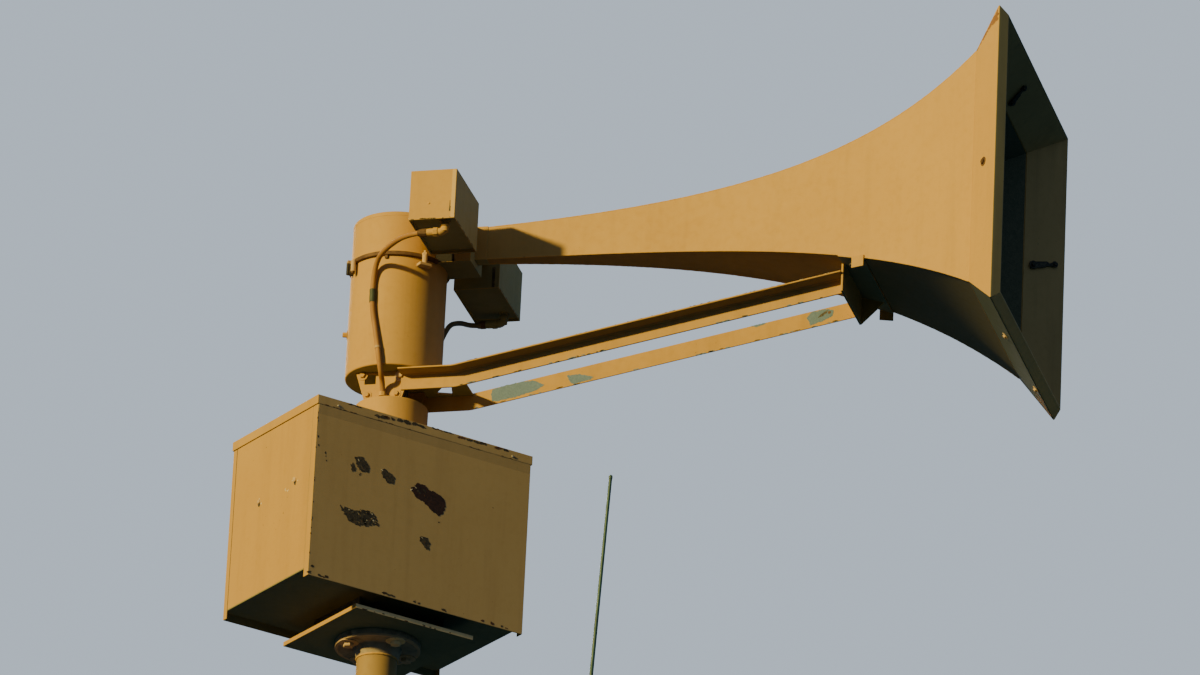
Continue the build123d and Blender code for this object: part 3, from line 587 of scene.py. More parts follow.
def from_node(node_name, width, segments=2):
    """The CAD solid's own shape with its edges rounded."""
    part = bmesh.new()
    part.from_mesh(nodes[node_name].data)
    bmesh.ops.remove_doubles(part, verts=part.verts, dist=2e-6)
    bmesh.ops.dissolve_limit(part, angle_limit=radians(0.4), verts=part.verts, edges=part.edges)
    return rounded(part, width, segments)


class Piece:
    """One named piece while its parts are gathered."""

    def __init__(self, name, body, slot, materials, stands_for=(), under=None):
        self.name = name
        self.body = body
        self.slot = slot
        self.materials = list(materials)
        self.stands_for = stands_for
        self.under = under
        self.mesh = bmesh.new()

    def add_painted(self, part):
        """Adds a part whose faces have their materials already."""
        held = bpy.data.meshes.new("held")
        part.to_mesh(held)
        part.free()
        self.mesh.from_mesh(held)
        bpy.data.meshes.remove(held)

    def add(self, parts, material=0):
        for part in parts if isinstance(parts, list) else [parts]:
            for face in part.faces:
                face.material_index = material
            self.add_painted(part)
        return self

    def paint_faces(self, direction, material, within=0.8):
        """Gives the faces of the first material that look along direction another finish."""
        if material not in self.materials:
            self.materials.append(material)
        index = self.materials.index(material)
        aim_at = Vector(direction).normalized()
        for face in self.mesh.faces:
            face.normal_update()
            if face.material_index == 0 and face.normal.dot(aim_at) > within:
                face.material_index = index
        return self

    def done(self, sharp=32.0):
        bmesh.ops.recalc_face_normals(self.mesh, faces=self.mesh.faces)
        # under is a painted shade finish for the faces that look down
        if self.under:
            self.paint_faces((0, 0, -1), self.under)
        mesh = bpy.data.meshes.new(self.name)
        self.mesh.to_mesh(mesh)
        self.mesh.free()
        for material in self.materials:
            mesh.materials.append(material)
        mesh.polygons.foreach_set("use_smooth", [True] * len(mesh.polygons))
        mesh.set_sharp_from_angle(angle=radians(sharp))
        made = placed(self.name, mesh)
        made.modifiers.new("flat_faces", "WEIGHTED_NORMAL").keep_sharp = True
        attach(made, self.body)
        if self.stands_for:
            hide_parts(*self.stands_for)


set_camera()
set_light()
set_floor()


# Conduits, along the same route as the part's own

def conduit(name, route, node_name, finish):
    curve = bpy.data.curves.new(name, "CURVE")
    curve.dimensions = "3D"
    spline = curve.splines.new("NURBS")
    spline.points.add(len(route) - 1)
    for point, place in zip(spline.points, route):
        point.co = (*(HEAD @ Vector(place)), 1.0)
    spline.order_u = 3
    spline.use_endpoint_u = True
    spline.resolution_u = 20
    curve.bevel_depth = 0.0075
    curve.bevel_resolution = 6
    curve.use_fill_caps = True
    curve.materials.append(finish)
    made = placed(name, curve)
    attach(made, "siren_head")
    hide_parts(node_name)


conduit("near_flexible_conduit", (
    (182, -331, 1055), (118, -331, 1058), (17, -216, 1066), (-31.5, -142.6, 1054), (-35.5, -141.8, 934),
    (-16, -145.6, 838), (3.5, -151, 728), (-2, -93.4, 700), (-2, -93.4, 664)), "near_conduit", conduit_paint)
# The far conduit takes the painted shade copy of the conduit colour
conduit("far_flexible_conduit", (
    (182, 331, 1055), (131, 331, 1052), (114, 245, 1030), (102, 152, 978), (52, 156, 806),
    (10, 155, 728), (-2, 93.4, 700), (-2, 93.4, 664)), "far_conduit", conduit_shade_tone)


# Mast

def mast_pieces():
    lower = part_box("mast_lower_tube")
    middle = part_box("mast_middle_tube")
    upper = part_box("mast_upper_tube")
    wall = 7.1
    levels = []
    for name, (low, high) in (("lower", lower), ("middle", middle), ("upper", upper)):
        outer = (high.x - low.x) / 2 / MM
        z0, z1 = low.z / MM, high.z / MM
        levels.append((outer, z0, z1))
        tube = Piece(f"mast_{name}_section", "mast", "mast_paint", [mast_paint], [f"mast_{name}_tube"])
        rise = [z0 + (z1 - z0) * i / 12 for i in range(13)]
        profile = [(outer, z) for z in rise] + [(outer - wall, z1), (outer - wall, z0)]
        tube.add(lathe(GROUND, profile, 96, closed=True)).done()
    cones = Piece("mast_swaged_reducers", "mast", "mast_paint", [mast_paint, weld_paint], ["mast_reducers"])
    for (r0, _, z0), (r1, z1, _) in zip(levels, levels[1:]):
        cones.add(lathe(GROUND, [(r0 - wall, z0), (r0, z0), (r0, z0 + 6), (r1, z1 - 6), (r1, z1), (r1 - wall, z1)],
                        96, closed=True))
        for r, z, seed in ((r0, z0, 3), (r1, z1, 5)):
            cones.add(weld_ring(GROUND, r + 0.5, z, 4.0, seed), 1)
    cones.done()


def weld_ring(place, radius, z, size, seed, segments=96):
    rng = random.Random(seed)
    rings = []
    for i in range(segments):
        a = tau * i / segments
        r = size * rng.uniform(0.85, 1.15)
        rings.append([place @ Vector(((radius + r * cos(b * tau / 8)) * cos(a),
                                      (radius + r * cos(b * tau / 8)) * sin(a),
                                      z + r * sin(b * tau / 8))) for b in range(8)])
    return section_along(rings, closed_path=True)


def base_pieces():
    plate = Piece("base_plate", "mast", "mast_paint", [mast_paint], ["mast_base_plate"])
    plate.add(from_node("mast_base_plate", 2.5)).done()
    bolts = Piece("anchor_bolts", "mast", "bare_steel", [bare_steel])
    for x in (-175, 175):
        for y in (-175, 175):
            place = moved(GROUND, x, y, 30)
            profile = [(0, -30), (14.6, -30), (14.6, 30)]
            for i in range(11):
                z = 32 + i * 3.0
                profile += [(14.9, z), (13.6, z + 1.5)]
            profile += [(12.5, 67), (0, 67)]
            bolts.add(lathe(place, profile, 32))
            bolts.add(lathe(place, [(15.2, 0), (29, 0), (29, 4.2), (28, 5), (15.2, 5)], 40, closed=True))
            turned = spun(place, 0.3 * (x + y) / 175 + 0.2)
            r = 46 / sqrt(3)
            bolts.add(lathe(turned, [(15.2, 5), (r * 0.9, 5), (r, 7), (r, 27), (r * 0.9, 29.5), (15.2, 29.5)],
                            6, closed=True))
    bolts.done()
    gussets = Piece("base_gussets", "mast", "mast_paint", [mast_paint, weld_paint], ["mast_base_gussets"])
    gussets.add(from_node("mast_base_gussets", 1.5))
    for i in range(4):
        place = spun(GROUND, i * pi / 2)
        for side in (-1, 1):
            gussets.add(bead(place, between((114, side * 7.0, 32), (211, side * 7.0, 32), 4), 3.2, 11 + i), 1)
            gussets.add(bead(place, between((110.5, side * 7.0, 34), (110.5, side * 7.0, 207), 4), 3.2, 21 + i), 1)
    gussets.add(weld_ring(GROUND, 110.5, 32, 3.6, 31), 1)
    gussets.done()


def flange_pieces():
    flange = Piece("pipe_flange", "mast", "bare_steel", [flange_steel, weld_paint, bolt_tan_and_rim_highlight], ["mast_top_flange"])
    profile = [(50.05, -96), (57.15, -96), (59, -92), (66, -70), (69.5, -66), (118.6, -66), (120, -64.6),
               (120, -46.4), (118.6, -45), (50.05, -45)]
    flange.add(lathe(HEAD, profile, 96, closed=True))
    flange.add(weld_ring(HEAD, 57.4, -97, 3.2, 41), 1)
    # A lighter ring round the flange's lower rim: painted highlight of its lit lower edge
    flange.add(lathe(HEAD, [(112, -66.6), (119.4, -66.6), (120.4, -65.6), (120.4, -60.6), (119.6, -60.2), (112, -64)],
                     96, closed=True), 2)
    flange.done()
    bolts = Piece("flange_bolts", "mast", "bare_steel", [bolt_tan_and_rim_highlight, painted_light_tan])
    for i in range(4):
        angle = radians(47.3 + 90 * i)
        x, y = 95 * cos(angle), 95 * sin(angle)
        under = spun(spun(moved(HEAD, x, y, -66), pi, "X"), 0.4 * i + 0.25)
        # The fourth bolt under the flange, in shade, takes the painted light tan
        bolts.add(bolt_head(under, 27, 11, 3), 1 if i == 3 else 0)
        over = spun(moved(HEAD, x, y, -32), 0.7 * i)
        bolts.add(bolt_head(over, 27, 13, 3))
        bolts.add(lathe(over, [(0, 10), (8.5, 10), (8.5, 22), (7.5, 23), (0, 23)], 24))
        bolts.add(lathe(under, [(0, -36), (8.8, -36), (8.8, 0.5), (0, 0.5)], 24))
    bolts.done()
    plate = Piece("square_mounting_plate", "mast", "housing_paint", [housing_paint, rust_line],
                  ["mounting_plate"], under=underside_shade_tan)
    plate.add(box(PLATE, (-PLATE_HALF, -PLATE_HALF, -45), (PLATE_HALF, PLATE_HALF, -32), 1.2))
    # The plate's front edge lies in the housing's shade; it takes the painted light tan
    plate.paint_faces(OUTWARD["front"], painted_light_tan)
    rng = random.Random(7)
    edge = PLATE @ axes((0, -PLATE_HALF, -45), X, Z)
    for i in range(14):
        x = rng.uniform(-185, 185)
        size = rng.uniform(4, 13)
        plate.add(patch(edge, scale_outline(x, rng.uniform(1, 4), size, 3.4, 0.0, 50 + i), i, 0.5, 0.25), 1)
    plate.done()
    rails = Piece("standoff_rails", "mast", "bare_steel", [bare_steel], ["standoff_channels"])
    rails.add(from_node("standoff_channels", 1.0)).done()


mast_pieces()
base_pieces()
flange_pieces()


# Drive housing

FRONT = HOUSING @ axes((0, -HALF_D, 0), X, Z)
LEFT = HOUSING @ axes((-HALF_W, 0, 0), (0, -1, 0), Z)
RIM_FRONT = HOUSING @ axes((0, -HALF_D - 3.3, 0), X, Z)
LID_FACE = HOUSING @ axes((0, 0, LID_TOP), X, Y)

LARGE_FLAKES = (
    ("dark", ((-226, 384), (-202, 392), (-186, 381), (-174, 366), (-178, 350), (-200, 347), (-216, 360))),
    ("dark", ((-237, 360), (-229, 366), (-218, 345), (-231, 339))),
    ("dark", ((-139, 369), (-127, 375), (-106, 367), (-88, 354), (-95, 336), (-111, 335), (-127, 348), (-134, 358))),
    ("red", ((-38, 341), (-17, 360), (5, 362), (24, 351), (54, 345), (74, 335), (80, 315), (72, 291), (58, 281),
             (39, 288), (19, 302), (1, 312), (-18, 316), (-30, 330))),
    ("scattered", ((-261, 226), (-239, 229), (-224, 221), (-207, 229), (-185, 237), (-163, 236), (-144, 223),
              (-131, 210), (-136, 201), (-154, 200), (-186, 190), (-211, 185), (-234, 196), (-249, 209))),
    ("dark", ((0, 204), (11, 209), (26, 204), (36, 190), (35, 171), (24, 173), (8, 186), (0, 190))))


def housing_pieces():
    # The front sheet's outer face takes the painted shade copy of the tan, and each sheet's inward face the painted
    # shade of the undersides
    for side, finish in (("front", front_shaded_tan), ("back", housing_paint)):
        panel = Piece(f"housing_{side}_sheet", "mast", "housing_paint", [housing_paint], [f"housing_{side}_panel"])
        panel.add(from_node(f"housing_{side}_panel", 1.1))
        panel.paint_faces(OUTWARD[side], finish)
        panel.paint_faces(OUTWARD["back" if side == "front" else "front"], underside_shade_tan).done()
    for side in ("left", "right"):
        door = Piece(f"housing_{side}_door", "mast", "housing_paint", [housing_paint],
                     [f"housing_{side}_panel"])
        door.add(from_node(f"housing_{side}_panel", 1.2))
        # The doors' front-facing faces take the front's painted shade, their inward faces the painted shade of the
        # undersides
        door.paint_faces(OUTWARD["front"], front_shaded_tan)
        door.paint_faces(OUTWARD["right" if side == "left" else "left"], underside_shade_tan).done()
    pan = Piece("housing_bottom_pan", "mast", "housing_paint", [underside_shade_tan], ["housing_pan"])
    pan.add(from_node("housing_pan", 0.5)).done()
    lid = Piece("housing_top_lid", "mast", "housing_paint", [housing_paint, seam_and_rim_shade, front_shaded_tan], ["housing_lid"])
    lid.add(from_node("housing_lid", 2.2, 3))
    # The lid's front-facing faces and the hem under its rim take the front's painted shade
    lid.paint_faces(OUTWARD["front"], front_shaded_tan, 0.9)
    hem = ((-HALF_D + 0.6, RIM_FOOT - 34.0), (-HALF_D - 2.9, RIM_FOOT + 0.6), (-HALF_D + 0.6, RIM_FOOT + 0.6))
    lid.add(section_along([[HOUSING @ Vector((x, y, z)) for y, z in hem] for x in (-HALF_W + 2, HALF_W - 2)]), 2)
    # A thin dark bead under the lid's front rim: a seam line, and painted shade of the rim
    y, z = -HALF_D - 2.6, RIM_FOOT - 0.3
    lid.add(bead(HOUSING, between((-HALF_W, y, z), (HALF_W, y, z), 14), 0.5, 61, 0.5, 8), 1)
    for x0, y0, x1, y1 in ((HALF_W, -HALF_D, HALF_W, HALF_D),
                           (HALF_W, HALF_D, -HALF_W, HALF_D), (-HALF_W, HALF_D, -HALF_W, -HALF_D)):
        lid.add(bead(HOUSING, between((x0, y0, RIM_FOOT - 0.4), (x1, y1, RIM_FOOT - 0.4), 14), 0.9, 61, 0.1, 8), 1)
    lid.done()


def housing_wear():
    wear = Piece("housing_paint_flakes", "mast", "housing_paint",
                 [primer_and_painted_shadow, primer_red, rust_line, chip_light])
    for i, (kind, outline) in enumerate(LARGE_FLAKES):
        if kind == "scattered":
            core = [((x + 198) * 0.72 - 204, (z - 213) * 0.66 + 211) for x, z in outline]
            for k, one in enumerate(scales(core, 60, 9.0, 22.0, 92)):
                wear.add(patch(FRONT, one, 840 + k, 1.4, 0.30 + 0.02 * (k % 5)), 0)
            for k, one in enumerate(scales(outline, 130, 5.0, 17.0, 90)):
                wear.add(patch(FRONT, one, 900 + k, 1.2, 0.35 + 0.02 * (k % 5)), 0)
            for k, one in enumerate(scales(outline, 12, 3.0, 8.0, 91)):
                wear.add(patch(FRONT, one, 980 + k, 0.8, 0.55), 3 if k % 2 else 2)
            continue
        wear.add(patch(FRONT, outline, 100 + i, 2.4, 0.45), 1 if kind == "red" else 0)
    islands = ((-212, 379, 10, 2.2, -0.9, 3), (-196, 358, 6, 2.5, 0.6, 2), (-134, 369, 8, 3.0, -0.6, 3),
               (-116, 350, 6, 2.4, -0.9, 2), (-34, 337, 9, 3.2, 0.8, 3), (-22, 346, 12, 2.6, -0.5, 3),
               (-10, 336, 16, 7, -0.6, 0), (8, 344, 18, 6, -0.6, 0), (10, 328, 9, 3, -0.9, 2),
               (18, 190, 8, 3, -0.9, 2), (8, 203, 7, 2, -0.4, 3), (-204, 341, 5, 4, 0.4, 0))
    for i, (x, z, length, width, turn, tone) in enumerate(islands):
        wear.add(patch(FRONT, scale_outline(x, z, length, width, turn, 130 + i), 130 + i, 0.6, 0.7), tone)
    rng = random.Random(17)
    for x, z in ((-344, 389), (-347, 415), (-318, 362), (-316, 350), (-320, 372), (60, 263), (-205, 336)):
        wear.add(patch(FRONT, scale_outline(x, z, rng.uniform(3, 6), rng.uniform(4, 9), 0.2, rng.random()),
                       rng.random(), 0.7, 0.3), 0)
    for x0, x1, z0, z1, count, seed in ((-318, -284, 2, 14, 5, 1), (-104, -72, 2, 11, 4, 2), (-12, 10, 2, 12, 2, 3),
                                        (86, 116, 2, 10, 3, 4), (-350, -338, 3, 30, 3, 5), (180, 330, 1, 4, 4, 6)):
        spread = random.Random(seed)
        for _ in range(count):
            length = spread.uniform(8, 19)
            tall = spread.uniform(4, 9)
            wear.add(patch(FRONT, scale_outline(spread.uniform(x0, x1), max(tall * 0.75 + 2, spread.uniform(z0, z1)),
                                                length, tall, spread.uniform(-0.25, 0.25), spread.random()),
                           spread.random(), 0.8, 0.3), spread.choice((0, 0, 2)))
    for _ in range(13):
        x = rng.uniform(-352, -349)
        z = rng.uniform(20, 505)
        wear.add(patch(FRONT, scale_outline(x, z, rng.uniform(1.5, 3.5), rng.uniform(3, 9), 0.0, rng.random()),
                       rng.random(), 0.4, 0.25), rng.choice((0, 2, 2)))
    for x0, x1, z0, z1 in ((-171, -149, 520, 531), (-141, -114, 523, 535), (-99, -57, 524, 538), (-48, -17, 526, 538),
                           (16, 76, 534, 539), (102, 181, 528, 539), (226, 271, 529, 539), (-262, -240, 533, 538),
                           (282, 300, 517, 522)):
        x = x0
        while x < x1:
            length = rng.uniform(14, 32)
            depth = (z1 - z0) * rng.uniform(0.7, 1.0)
            chip = scale_outline(x + length / 2, rng.uniform(z0 + depth / 2, z1 - depth / 2), length, depth,
                                 rng.uniform(-0.15, 0.15), rng.random())
            wear.add(patch(RIM_FRONT, chip, rng.random(), 1.4, 0.3), rng.choice((0, 0, 2)))
            wear.add(patch(LID_FACE, scale_outline(x + length / 2, -HALF_D + 1 + depth / 2, length, depth, 0.0,
                                                   rng.random()), rng.random(), 0.8, 0.3), rng.choice((0, 2)))
            x += length * rng.uniform(0.75, 1.05)
    for _ in range(20):
        x = rng.uniform(-330, 330)
        wear.add(patch(RIM_FRONT, scale_outline(x, RIM_FOOT + 1.6, rng.uniform(5, 16), 1.8, 0.0, rng.random()),
                       rng.random(), 0.4, 0.25), 2)
    for along, z, count, seed in ((124, 314, 5, 8), (-67, 308, 4, 9), (73, 303, 3, 10)):
        spread = random.Random(seed)
        for _ in range(count):
            wear.add(patch(LEFT, scale_outline(along + spread.uniform(-16, 16), z + spread.uniform(-10, 10),
                                               spread.uniform(3, 9), spread.uniform(2, 5), 0.6, spread.random()),
                           spread.random(), 0.5, 0.25), 3)
    wear.done(20.0)
    screws = Piece("housing_screws", "mast", "housing_paint", [bright_steel, primer_and_painted_shadow, bolt_tan_and_rim_highlight])
    for along, z in ((124, 314), (-67, 308)):
        screws.add(screw_head(moved(LEFT, along, z, 0), 7.0, 4.4), 2)
        # A dark patch just below each screw head
        screws.add(patch(LEFT, scale_outline(along + 1, z - 8, 19, 13, pi / 2, 6), 3, 1.2, 0.4), 1)
    for x in (-289, 289):
        screws.add(screw_head(moved(RIM_FRONT, x, 521, 0), 3.6, 2.4), 0)
    screws.done()
    seams = Piece("housing_seams", "mast", "housing_paint", [seam_and_rim_shade])
    for x in (-HALF_W + 1.0, HALF_W - 1.0):
        seams.add(box(HOUSING, (x - 1.0, 204.6, 2), (x + 1.0, 207.4, 510), 0.2, 1))
    seams.done()


housing_pieces()
housing_wear()


# Antenna

def antenna_pieces():
    turn = spun(HEAD, radians(13.8))
    clamp = Piece("antenna_pipe_clamp", "mast", "arm_steel", [galvanised], ["antenna_clamp"])
    clamp.add(from_node("antenna_clamp", 1.0))
    for y in (-1, 1):
        for z in (ARM_Z - 30, ARM_Z):
            clamp.add(bolt_head(turn @ aim((-78, y * 14, z), (0, y, 0)), 13, 6, 1.6))
    clamp.done()
    arm = Piece("antenna_side_arm", "mast", "arm_steel", [galvanised], ["antenna_arm"])
    arm.add(from_node("antenna_arm", 1.6)).done()
    base = Piece("antenna_mount", "mast", "arm_steel", [galvanised, bare_steel], ["antenna_base"])
    socket = moved(turn, ANTENNA_X, 0, ARM_Z)
    base.add(lathe(socket, [(0, 0), (18, 0), (18, 4), (16.5, 5.5), (16.5, 38), (17.5, 40), (17.5, 43.5), (15, 46),
                            (0, 46)], 48))
    base.add(bolt_head(turn @ aim((ANTENNA_X, -16.5, ARM_Z + 23), (0, -1, 0)), 10, 5), 1)
    lean = moved(spun(moved(turn, ANTENNA_X, 0, ARM_Z + 46), radians(2.65), "Y"), 0, 0, -4)
    base.add(lathe(lean, [(0, 0), (11, 0), (11, 20), (10, 22), (10, 26), (11, 28), (11, 128), (9.5, 142), (7.2, 158),
                          (6.2, 160), (0, 160)], 40))
    base.done()
    whip = Piece("whip_rod", "mast", "whip_plastic", [whip_plastic, whip_grey], ["antenna_whip"])
    top = 160 + 1425.7
    whip.add(lathe(lean, [(0, 161), (5.6, 161), (5.4, 600), (5.2, 980), (0, 980)], 24), 1)
    whip.add(lathe(lean, [(0, 979), (5.5, 979), (5.2, 1200), (4.8, top - 12), (5.6, top - 11), (5.6, top - 3),
                          (4.0, top - 0.5), (0, top - 0.5)], 24), 0)
    whip.done()


antenna_pieces()


# Collar, neck and rotor

def round_pieces():
    pedestal = Piece("bearing_stub", "mast", "bare_steel", [bare_steel], ["bearing_pedestal"])
    pedestal.add(lathe(HEAD, [(45.05, 539), (77, 539), (78, 540), (78, 652), (76, 654), (45.05, 654)], 72,
                       closed=True)).done()
    column = Piece("turning_column", "siren_head", "bare_steel", [bare_steel], ["rotating_column"])
    column.add(lathe(HEAD, [(39, 479), (44, 479), (45, 480), (45, 745), (39, 745)], 72, closed=True)).done()
    collar = Piece("collar_drum", "siren_head", "head_paint", [head_paint, rust_line, primer_and_painted_shadow],
                   ["rotator_collar"])
    collar.add(lathe(HEAD, [(45, 659), (45, 664), (100, 664), (102.4, 663.2), (103.6, 661.6), (104, 659), (104, 556),
                            (104.8, 553), (104.8, 546), (104, 544), (99, 544), (99, 659)], 112, closed=True))
    rng = random.Random(23)
    for _ in range(46):
        angle = rng.uniform(0, tau)
        place = HEAD @ axes((104.7 * cos(angle), 104.7 * sin(angle), 0),
                            (-sin(angle), cos(angle), 0), Z)
        collar.add(patch(place, scale_outline(0, rng.uniform(546, 551), rng.uniform(4, 9), rng.uniform(3, 8), 0,
                                              rng.random()), rng.random(), 0.6, 0.4), rng.choice((1, 2)))
    collar.done()
    rotor = Piece("rotor_drum", "siren_head", "head_paint", [head_paint, weld_paint], ["rotor_housing"],
                  under=underside_shade_tan)
    rise = [750 + (DRUM_TOP - 750) * i / 8 for i in range(9)]
    profile = [(0, DRUM_FOOT), (132, DRUM_FOOT), (134.6, 745.8), (136.3, 747.5)] + [(DRUM_R, z) for z in rise] + [
        (133, 1204), (133, 757), (0, 757)]
    rotor.add(lathe(HEAD, profile, 144))
    rotor.add(bead(HEAD, between((DRUM_R * cos(1.7), DRUM_R * sin(1.7), 748),
                                 (DRUM_R * cos(1.7), DRUM_R * sin(1.7), 1203), 5), 1.6, 71), 1)
    rotor.done()
    cap = Piece("rotor_cap", "siren_head", "head_paint", [head_paint], ["rotor_housing_cap"])
    cap.add(lathe(HEAD, [(0, 1204), (137.5, 1204), (137.5, 1211), (136.6, 1214.4), (134.4, 1216.8), (131, 1218),
                         (60, 1218.0), (0, 1218.0)], 144)).done()


def band_pieces():
    band = Piece("rotor_clamp_band", "siren_head", "head_paint", [head_paint, dark_steel_and_band_shade, primer_and_painted_shadow, bolt_tan_and_rim_highlight],
                 ["clamp_band"])
    opening = asin(62.1 / 146.0)
    section = [(BAND_R, 1079), (142.5, 1079), (144.8, 1080), (146, 1082.4), (146, 1088.4), (144.8, 1091),
               (142.5, 1092), (BAND_R, 1092)]
    angles = [opening + (tau - 2 * opening) * i / 120 for i in range(121)]
    rings = [[HEAD @ Vector((r * cos(a), r * sin(a), z)) for r, z in section] for a in angles]
    # The band's body is dark under a tan top bead: dark steel, and painted shade of its lower face
    band.add(section_along(rings), 1)
    upper = [(141.6 * cos(a), 141.6 * sin(a), 1091.4) for a in angles]
    band.add(bead(HEAD, upper, 2.6, 66, 0.05, 10), 0)
    right = moved(spun(HEAD, radians(314.0)), 150, 0, 0)
    band.add(lathe(right, [(0, 1060), (7.6, 1060), (8, 1061), (8, 1085), (7.2, 1086.5), (0, 1086.5)], 32), 3)
    band.add(lathe(right, [(0, 1086), (8.6, 1086), (8.6, 1092), (7.6, 1093.4), (0, 1093.4)], 6), 3)
    band.add(lathe(right, [(0, 1093), (4.2, 1093), (4.2, 1100), (3.4, 1101), (0, 1101)], 20), 3)
    turned = spun(HEAD, radians(314.0))
    band.add(box(turned, (BAND_R, -19, 1052), (159.1, 19, 1061), 1.4, 3), 3)
    tab = spun(HEAD, radians(270.0))
    band.add(box(tab, (BAND_R, -4.5, 1070), (143, 4.5, 1080), 1.2, 2), 1)
    left = moved(spun(HEAD, radians(225.0)), 150, 0, 0)
    band.add(lathe(left, [(0, 1050), (6.6, 1050), (7, 1051), (7, 1083), (6.2, 1085), (0, 1085)], 32), 3)
    band.add(lathe(left, [(0, 1044), (5.6, 1044), (6.6, 1045), (6.6, 1050.5), (0, 1050.5)], 6), 1)
    turned = spun(HEAD, radians(213.5))
    band.add(box(turned, (BAND_R, -5, 1052), (155.1, 5, 1086), 1.4, 3), 2)
    band.add(box(turned, (BAND_R, -5.2, 1085), (155.1, 5.2, 1092), 1.4, 3), 3)
    band.done()


def neck_pieces():
    plates = Piece("neck_plates", "siren_head", "head_paint", [head_paint], ["neck_brackets"])
    plates.add(from_node("neck_brackets", 0.9)).done()
    bolts = Piece("neck_bolts", "siren_head", "head_paint", [bolt_tan_and_rim_highlight, head_paint, primer_and_painted_shadow])
    for side in (-1, 1):
        for x, z, across in ((-66, 737, 15), (-50, 676, 13), (36, 676, 13)):
            bolts.add(bolt_head(HEAD @ aim((x, side * NECK_FACE, z), (0, side, 0)), across, 6, 1.6), 1)
        bolts.add(bolt_head(HEAD @ aim((46, side * NECK_FACE, 731), (0, side, 0)), 17, 9, 2), 0)
        # Painted shadow: a dark patch on the neck plate round the large bolt
        bolt_shadow_place = HEAD @ axes((46, side * NECK_FACE, 729), X, Z)
        bolts.add(patch(bolt_shadow_place, scale_outline(0, 0, 40, 25, 0.1, 12), 12, 1.5, 0.4), 2)
    bolts.add(bolt_head(HEAD @ aim((-132, -38, 884), (-0.96, -0.28, 0)), 13, 12, 1.5), 1)
    bolts.done()


round_pieces()
band_pieces()
neck_pieces()


# Throat housing and valve boxes

def box_pieces():
    throat = Piece("throat_body", "siren_head", "head_paint", [head_paint, painted_shadow_black], ["throat_housing"],
                   under=underside_shade_tan)
    throat.add(from_node("throat_housing", 1.6))
    # The faces that look along +X take the painted shade copy
    throat.paint_faces((1, 0, 0), side_shade_tan)
    # Painted shadow: a black patch on the throat's near face between the drum and the near valve box, where the key
    # light would fall
    painted_shadow_place = HEAD @ axes((0, -62, 0), X, Z)
    throat.add(patch(painted_shadow_place, ((106, 1083.6), (178, 1083.6), (175, 1122), (106, 1124)), 31, 0.5, 0.5), 1)
    throat.done()
    for side, name in ((-1, "near"), (1, "far")):
        piece = Piece(f"{name}_valve_housing", "siren_head", "head_paint",
                      [head_paint, primer_and_painted_shadow, chip_light, weld_paint, edge_strip_highlight], [f"{name}_valve_box"],
                      under=underside_shade_tan)
        piece.add(from_node(f"{name}_valve_box", 1.4, 3))
        # The faces that look along +X take the painted shade copy
        piece.paint_faces((1, 0, 0), side_shade_tan)
        # The far box's face towards the throat takes the painted shade of the undersides
        if side > 0:
            piece.paint_faces((0, -1, 0), underside_shade_tan)
        outer = HEAD @ axes((0, side * BOX_SIDE, 0), (-side, 0, 0), Z)
        rng = random.Random(81 + side)
        # Dark flecks along the bottom edges of the outer and front faces: chips that also stand for painted shade
        # along those edges
        for _ in range(16):
            x = rng.uniform(130, 256)
            piece.add(patch(outer, scale_outline(-side * x, 1079.6 + rng.uniform(0, 1.5), rng.uniform(4, 12), 2.6, 0,
                                                 rng.random()), rng.random(), 0.4, 0.25), 1)
        front = HEAD @ axes((BOX_FACE, 0, 0), (0, 1, 0), Z)
        for _ in range(18):
            y = side * rng.uniform(130, 366)
            piece.add(patch(front, scale_outline(y, 1079.8 + rng.uniform(0, 2), rng.uniform(4, 14), 3.0, 0,
                                                 rng.random()), rng.random(), 0.4, 0.25), 1)
        piece.add(screw_head(moved(outer, -side * 183, 1127, 0), 3.4, 2.0), 3)
        latch = ((242.4, 1099), (246.8, 1099), (246.4, 1113), (245, 1116), (244.8, 1132), (243.2, 1132), (243, 1115))
        piece.add(patch(outer, [(-side * x, z) for x, z in latch], 6, 0.3, 0.5), 1)
        # A lighter strip along the front edge of the outer face: painted highlight
        low, high = sorted((-side * 247.5, -side * 258.8))
        piece.add(box(outer, (low, 1079.5, -0.5), (high, 1227.5, 0.7), 0.3), 4)
        if side > 0:
            piece.add(box(HEAD, (238.5, 125.2, 1080), (247, 127, 1142), 0.5), 1)
        piece.done()


box_pieces()


# Horn

def flare(x, throat, kink, constant):
    share = (exp((x - HORN_START) / constant) - 1) / (exp((KINK_X - HORN_START) / constant) - 1)
    return throat + (kink - throat) * share


def half_height(x):
    return flare(x, 49.5, KINK_H, 475.0)


def half_width(x):
    return flare(x, 18.0, KINK_W, 600.0)


def waved(x, v, seed):
    """A shallow unevenness of rolled sheet, nothing at the panel's edges."""
    return 1.1 * noise.noise(Vector((x * 0.0045, v * 0.006, seed)))


def skin(mesh, outer, inner, fold_from):
    """Faces between two grids of points: the outside 0, from row fold_from on 2, the inside 1."""
    last, columns = len(outer) - 1, len(outer[0]) - 1
    for i in range(last):
        for j in range(columns):
            face = mesh.faces.new((outer[i][j], outer[i][j + 1], outer[i + 1][j + 1], outer[i + 1][j]))
            face.material_index = 2 if i >= fold_from else 0
            mesh.faces.new((inner[i][j], inner[i + 1][j], inner[i + 1][j + 1], inner[i][j + 1])).material_index = 1
        for j in (0, columns):
            mesh.faces.new((outer[i][j], outer[i + 1][j], inner[i + 1][j], inner[i][j]))
    for j in range(columns):
        mesh.faces.new((outer[0][j], outer[0][j + 1], inner[0][j + 1], inner[0][j]))
        face = mesh.faces.new((outer[last][j], inner[last][j], inner[last][j + 1], outer[last][j + 1]))
        face.material_index = 2 if last >= fold_from else 0


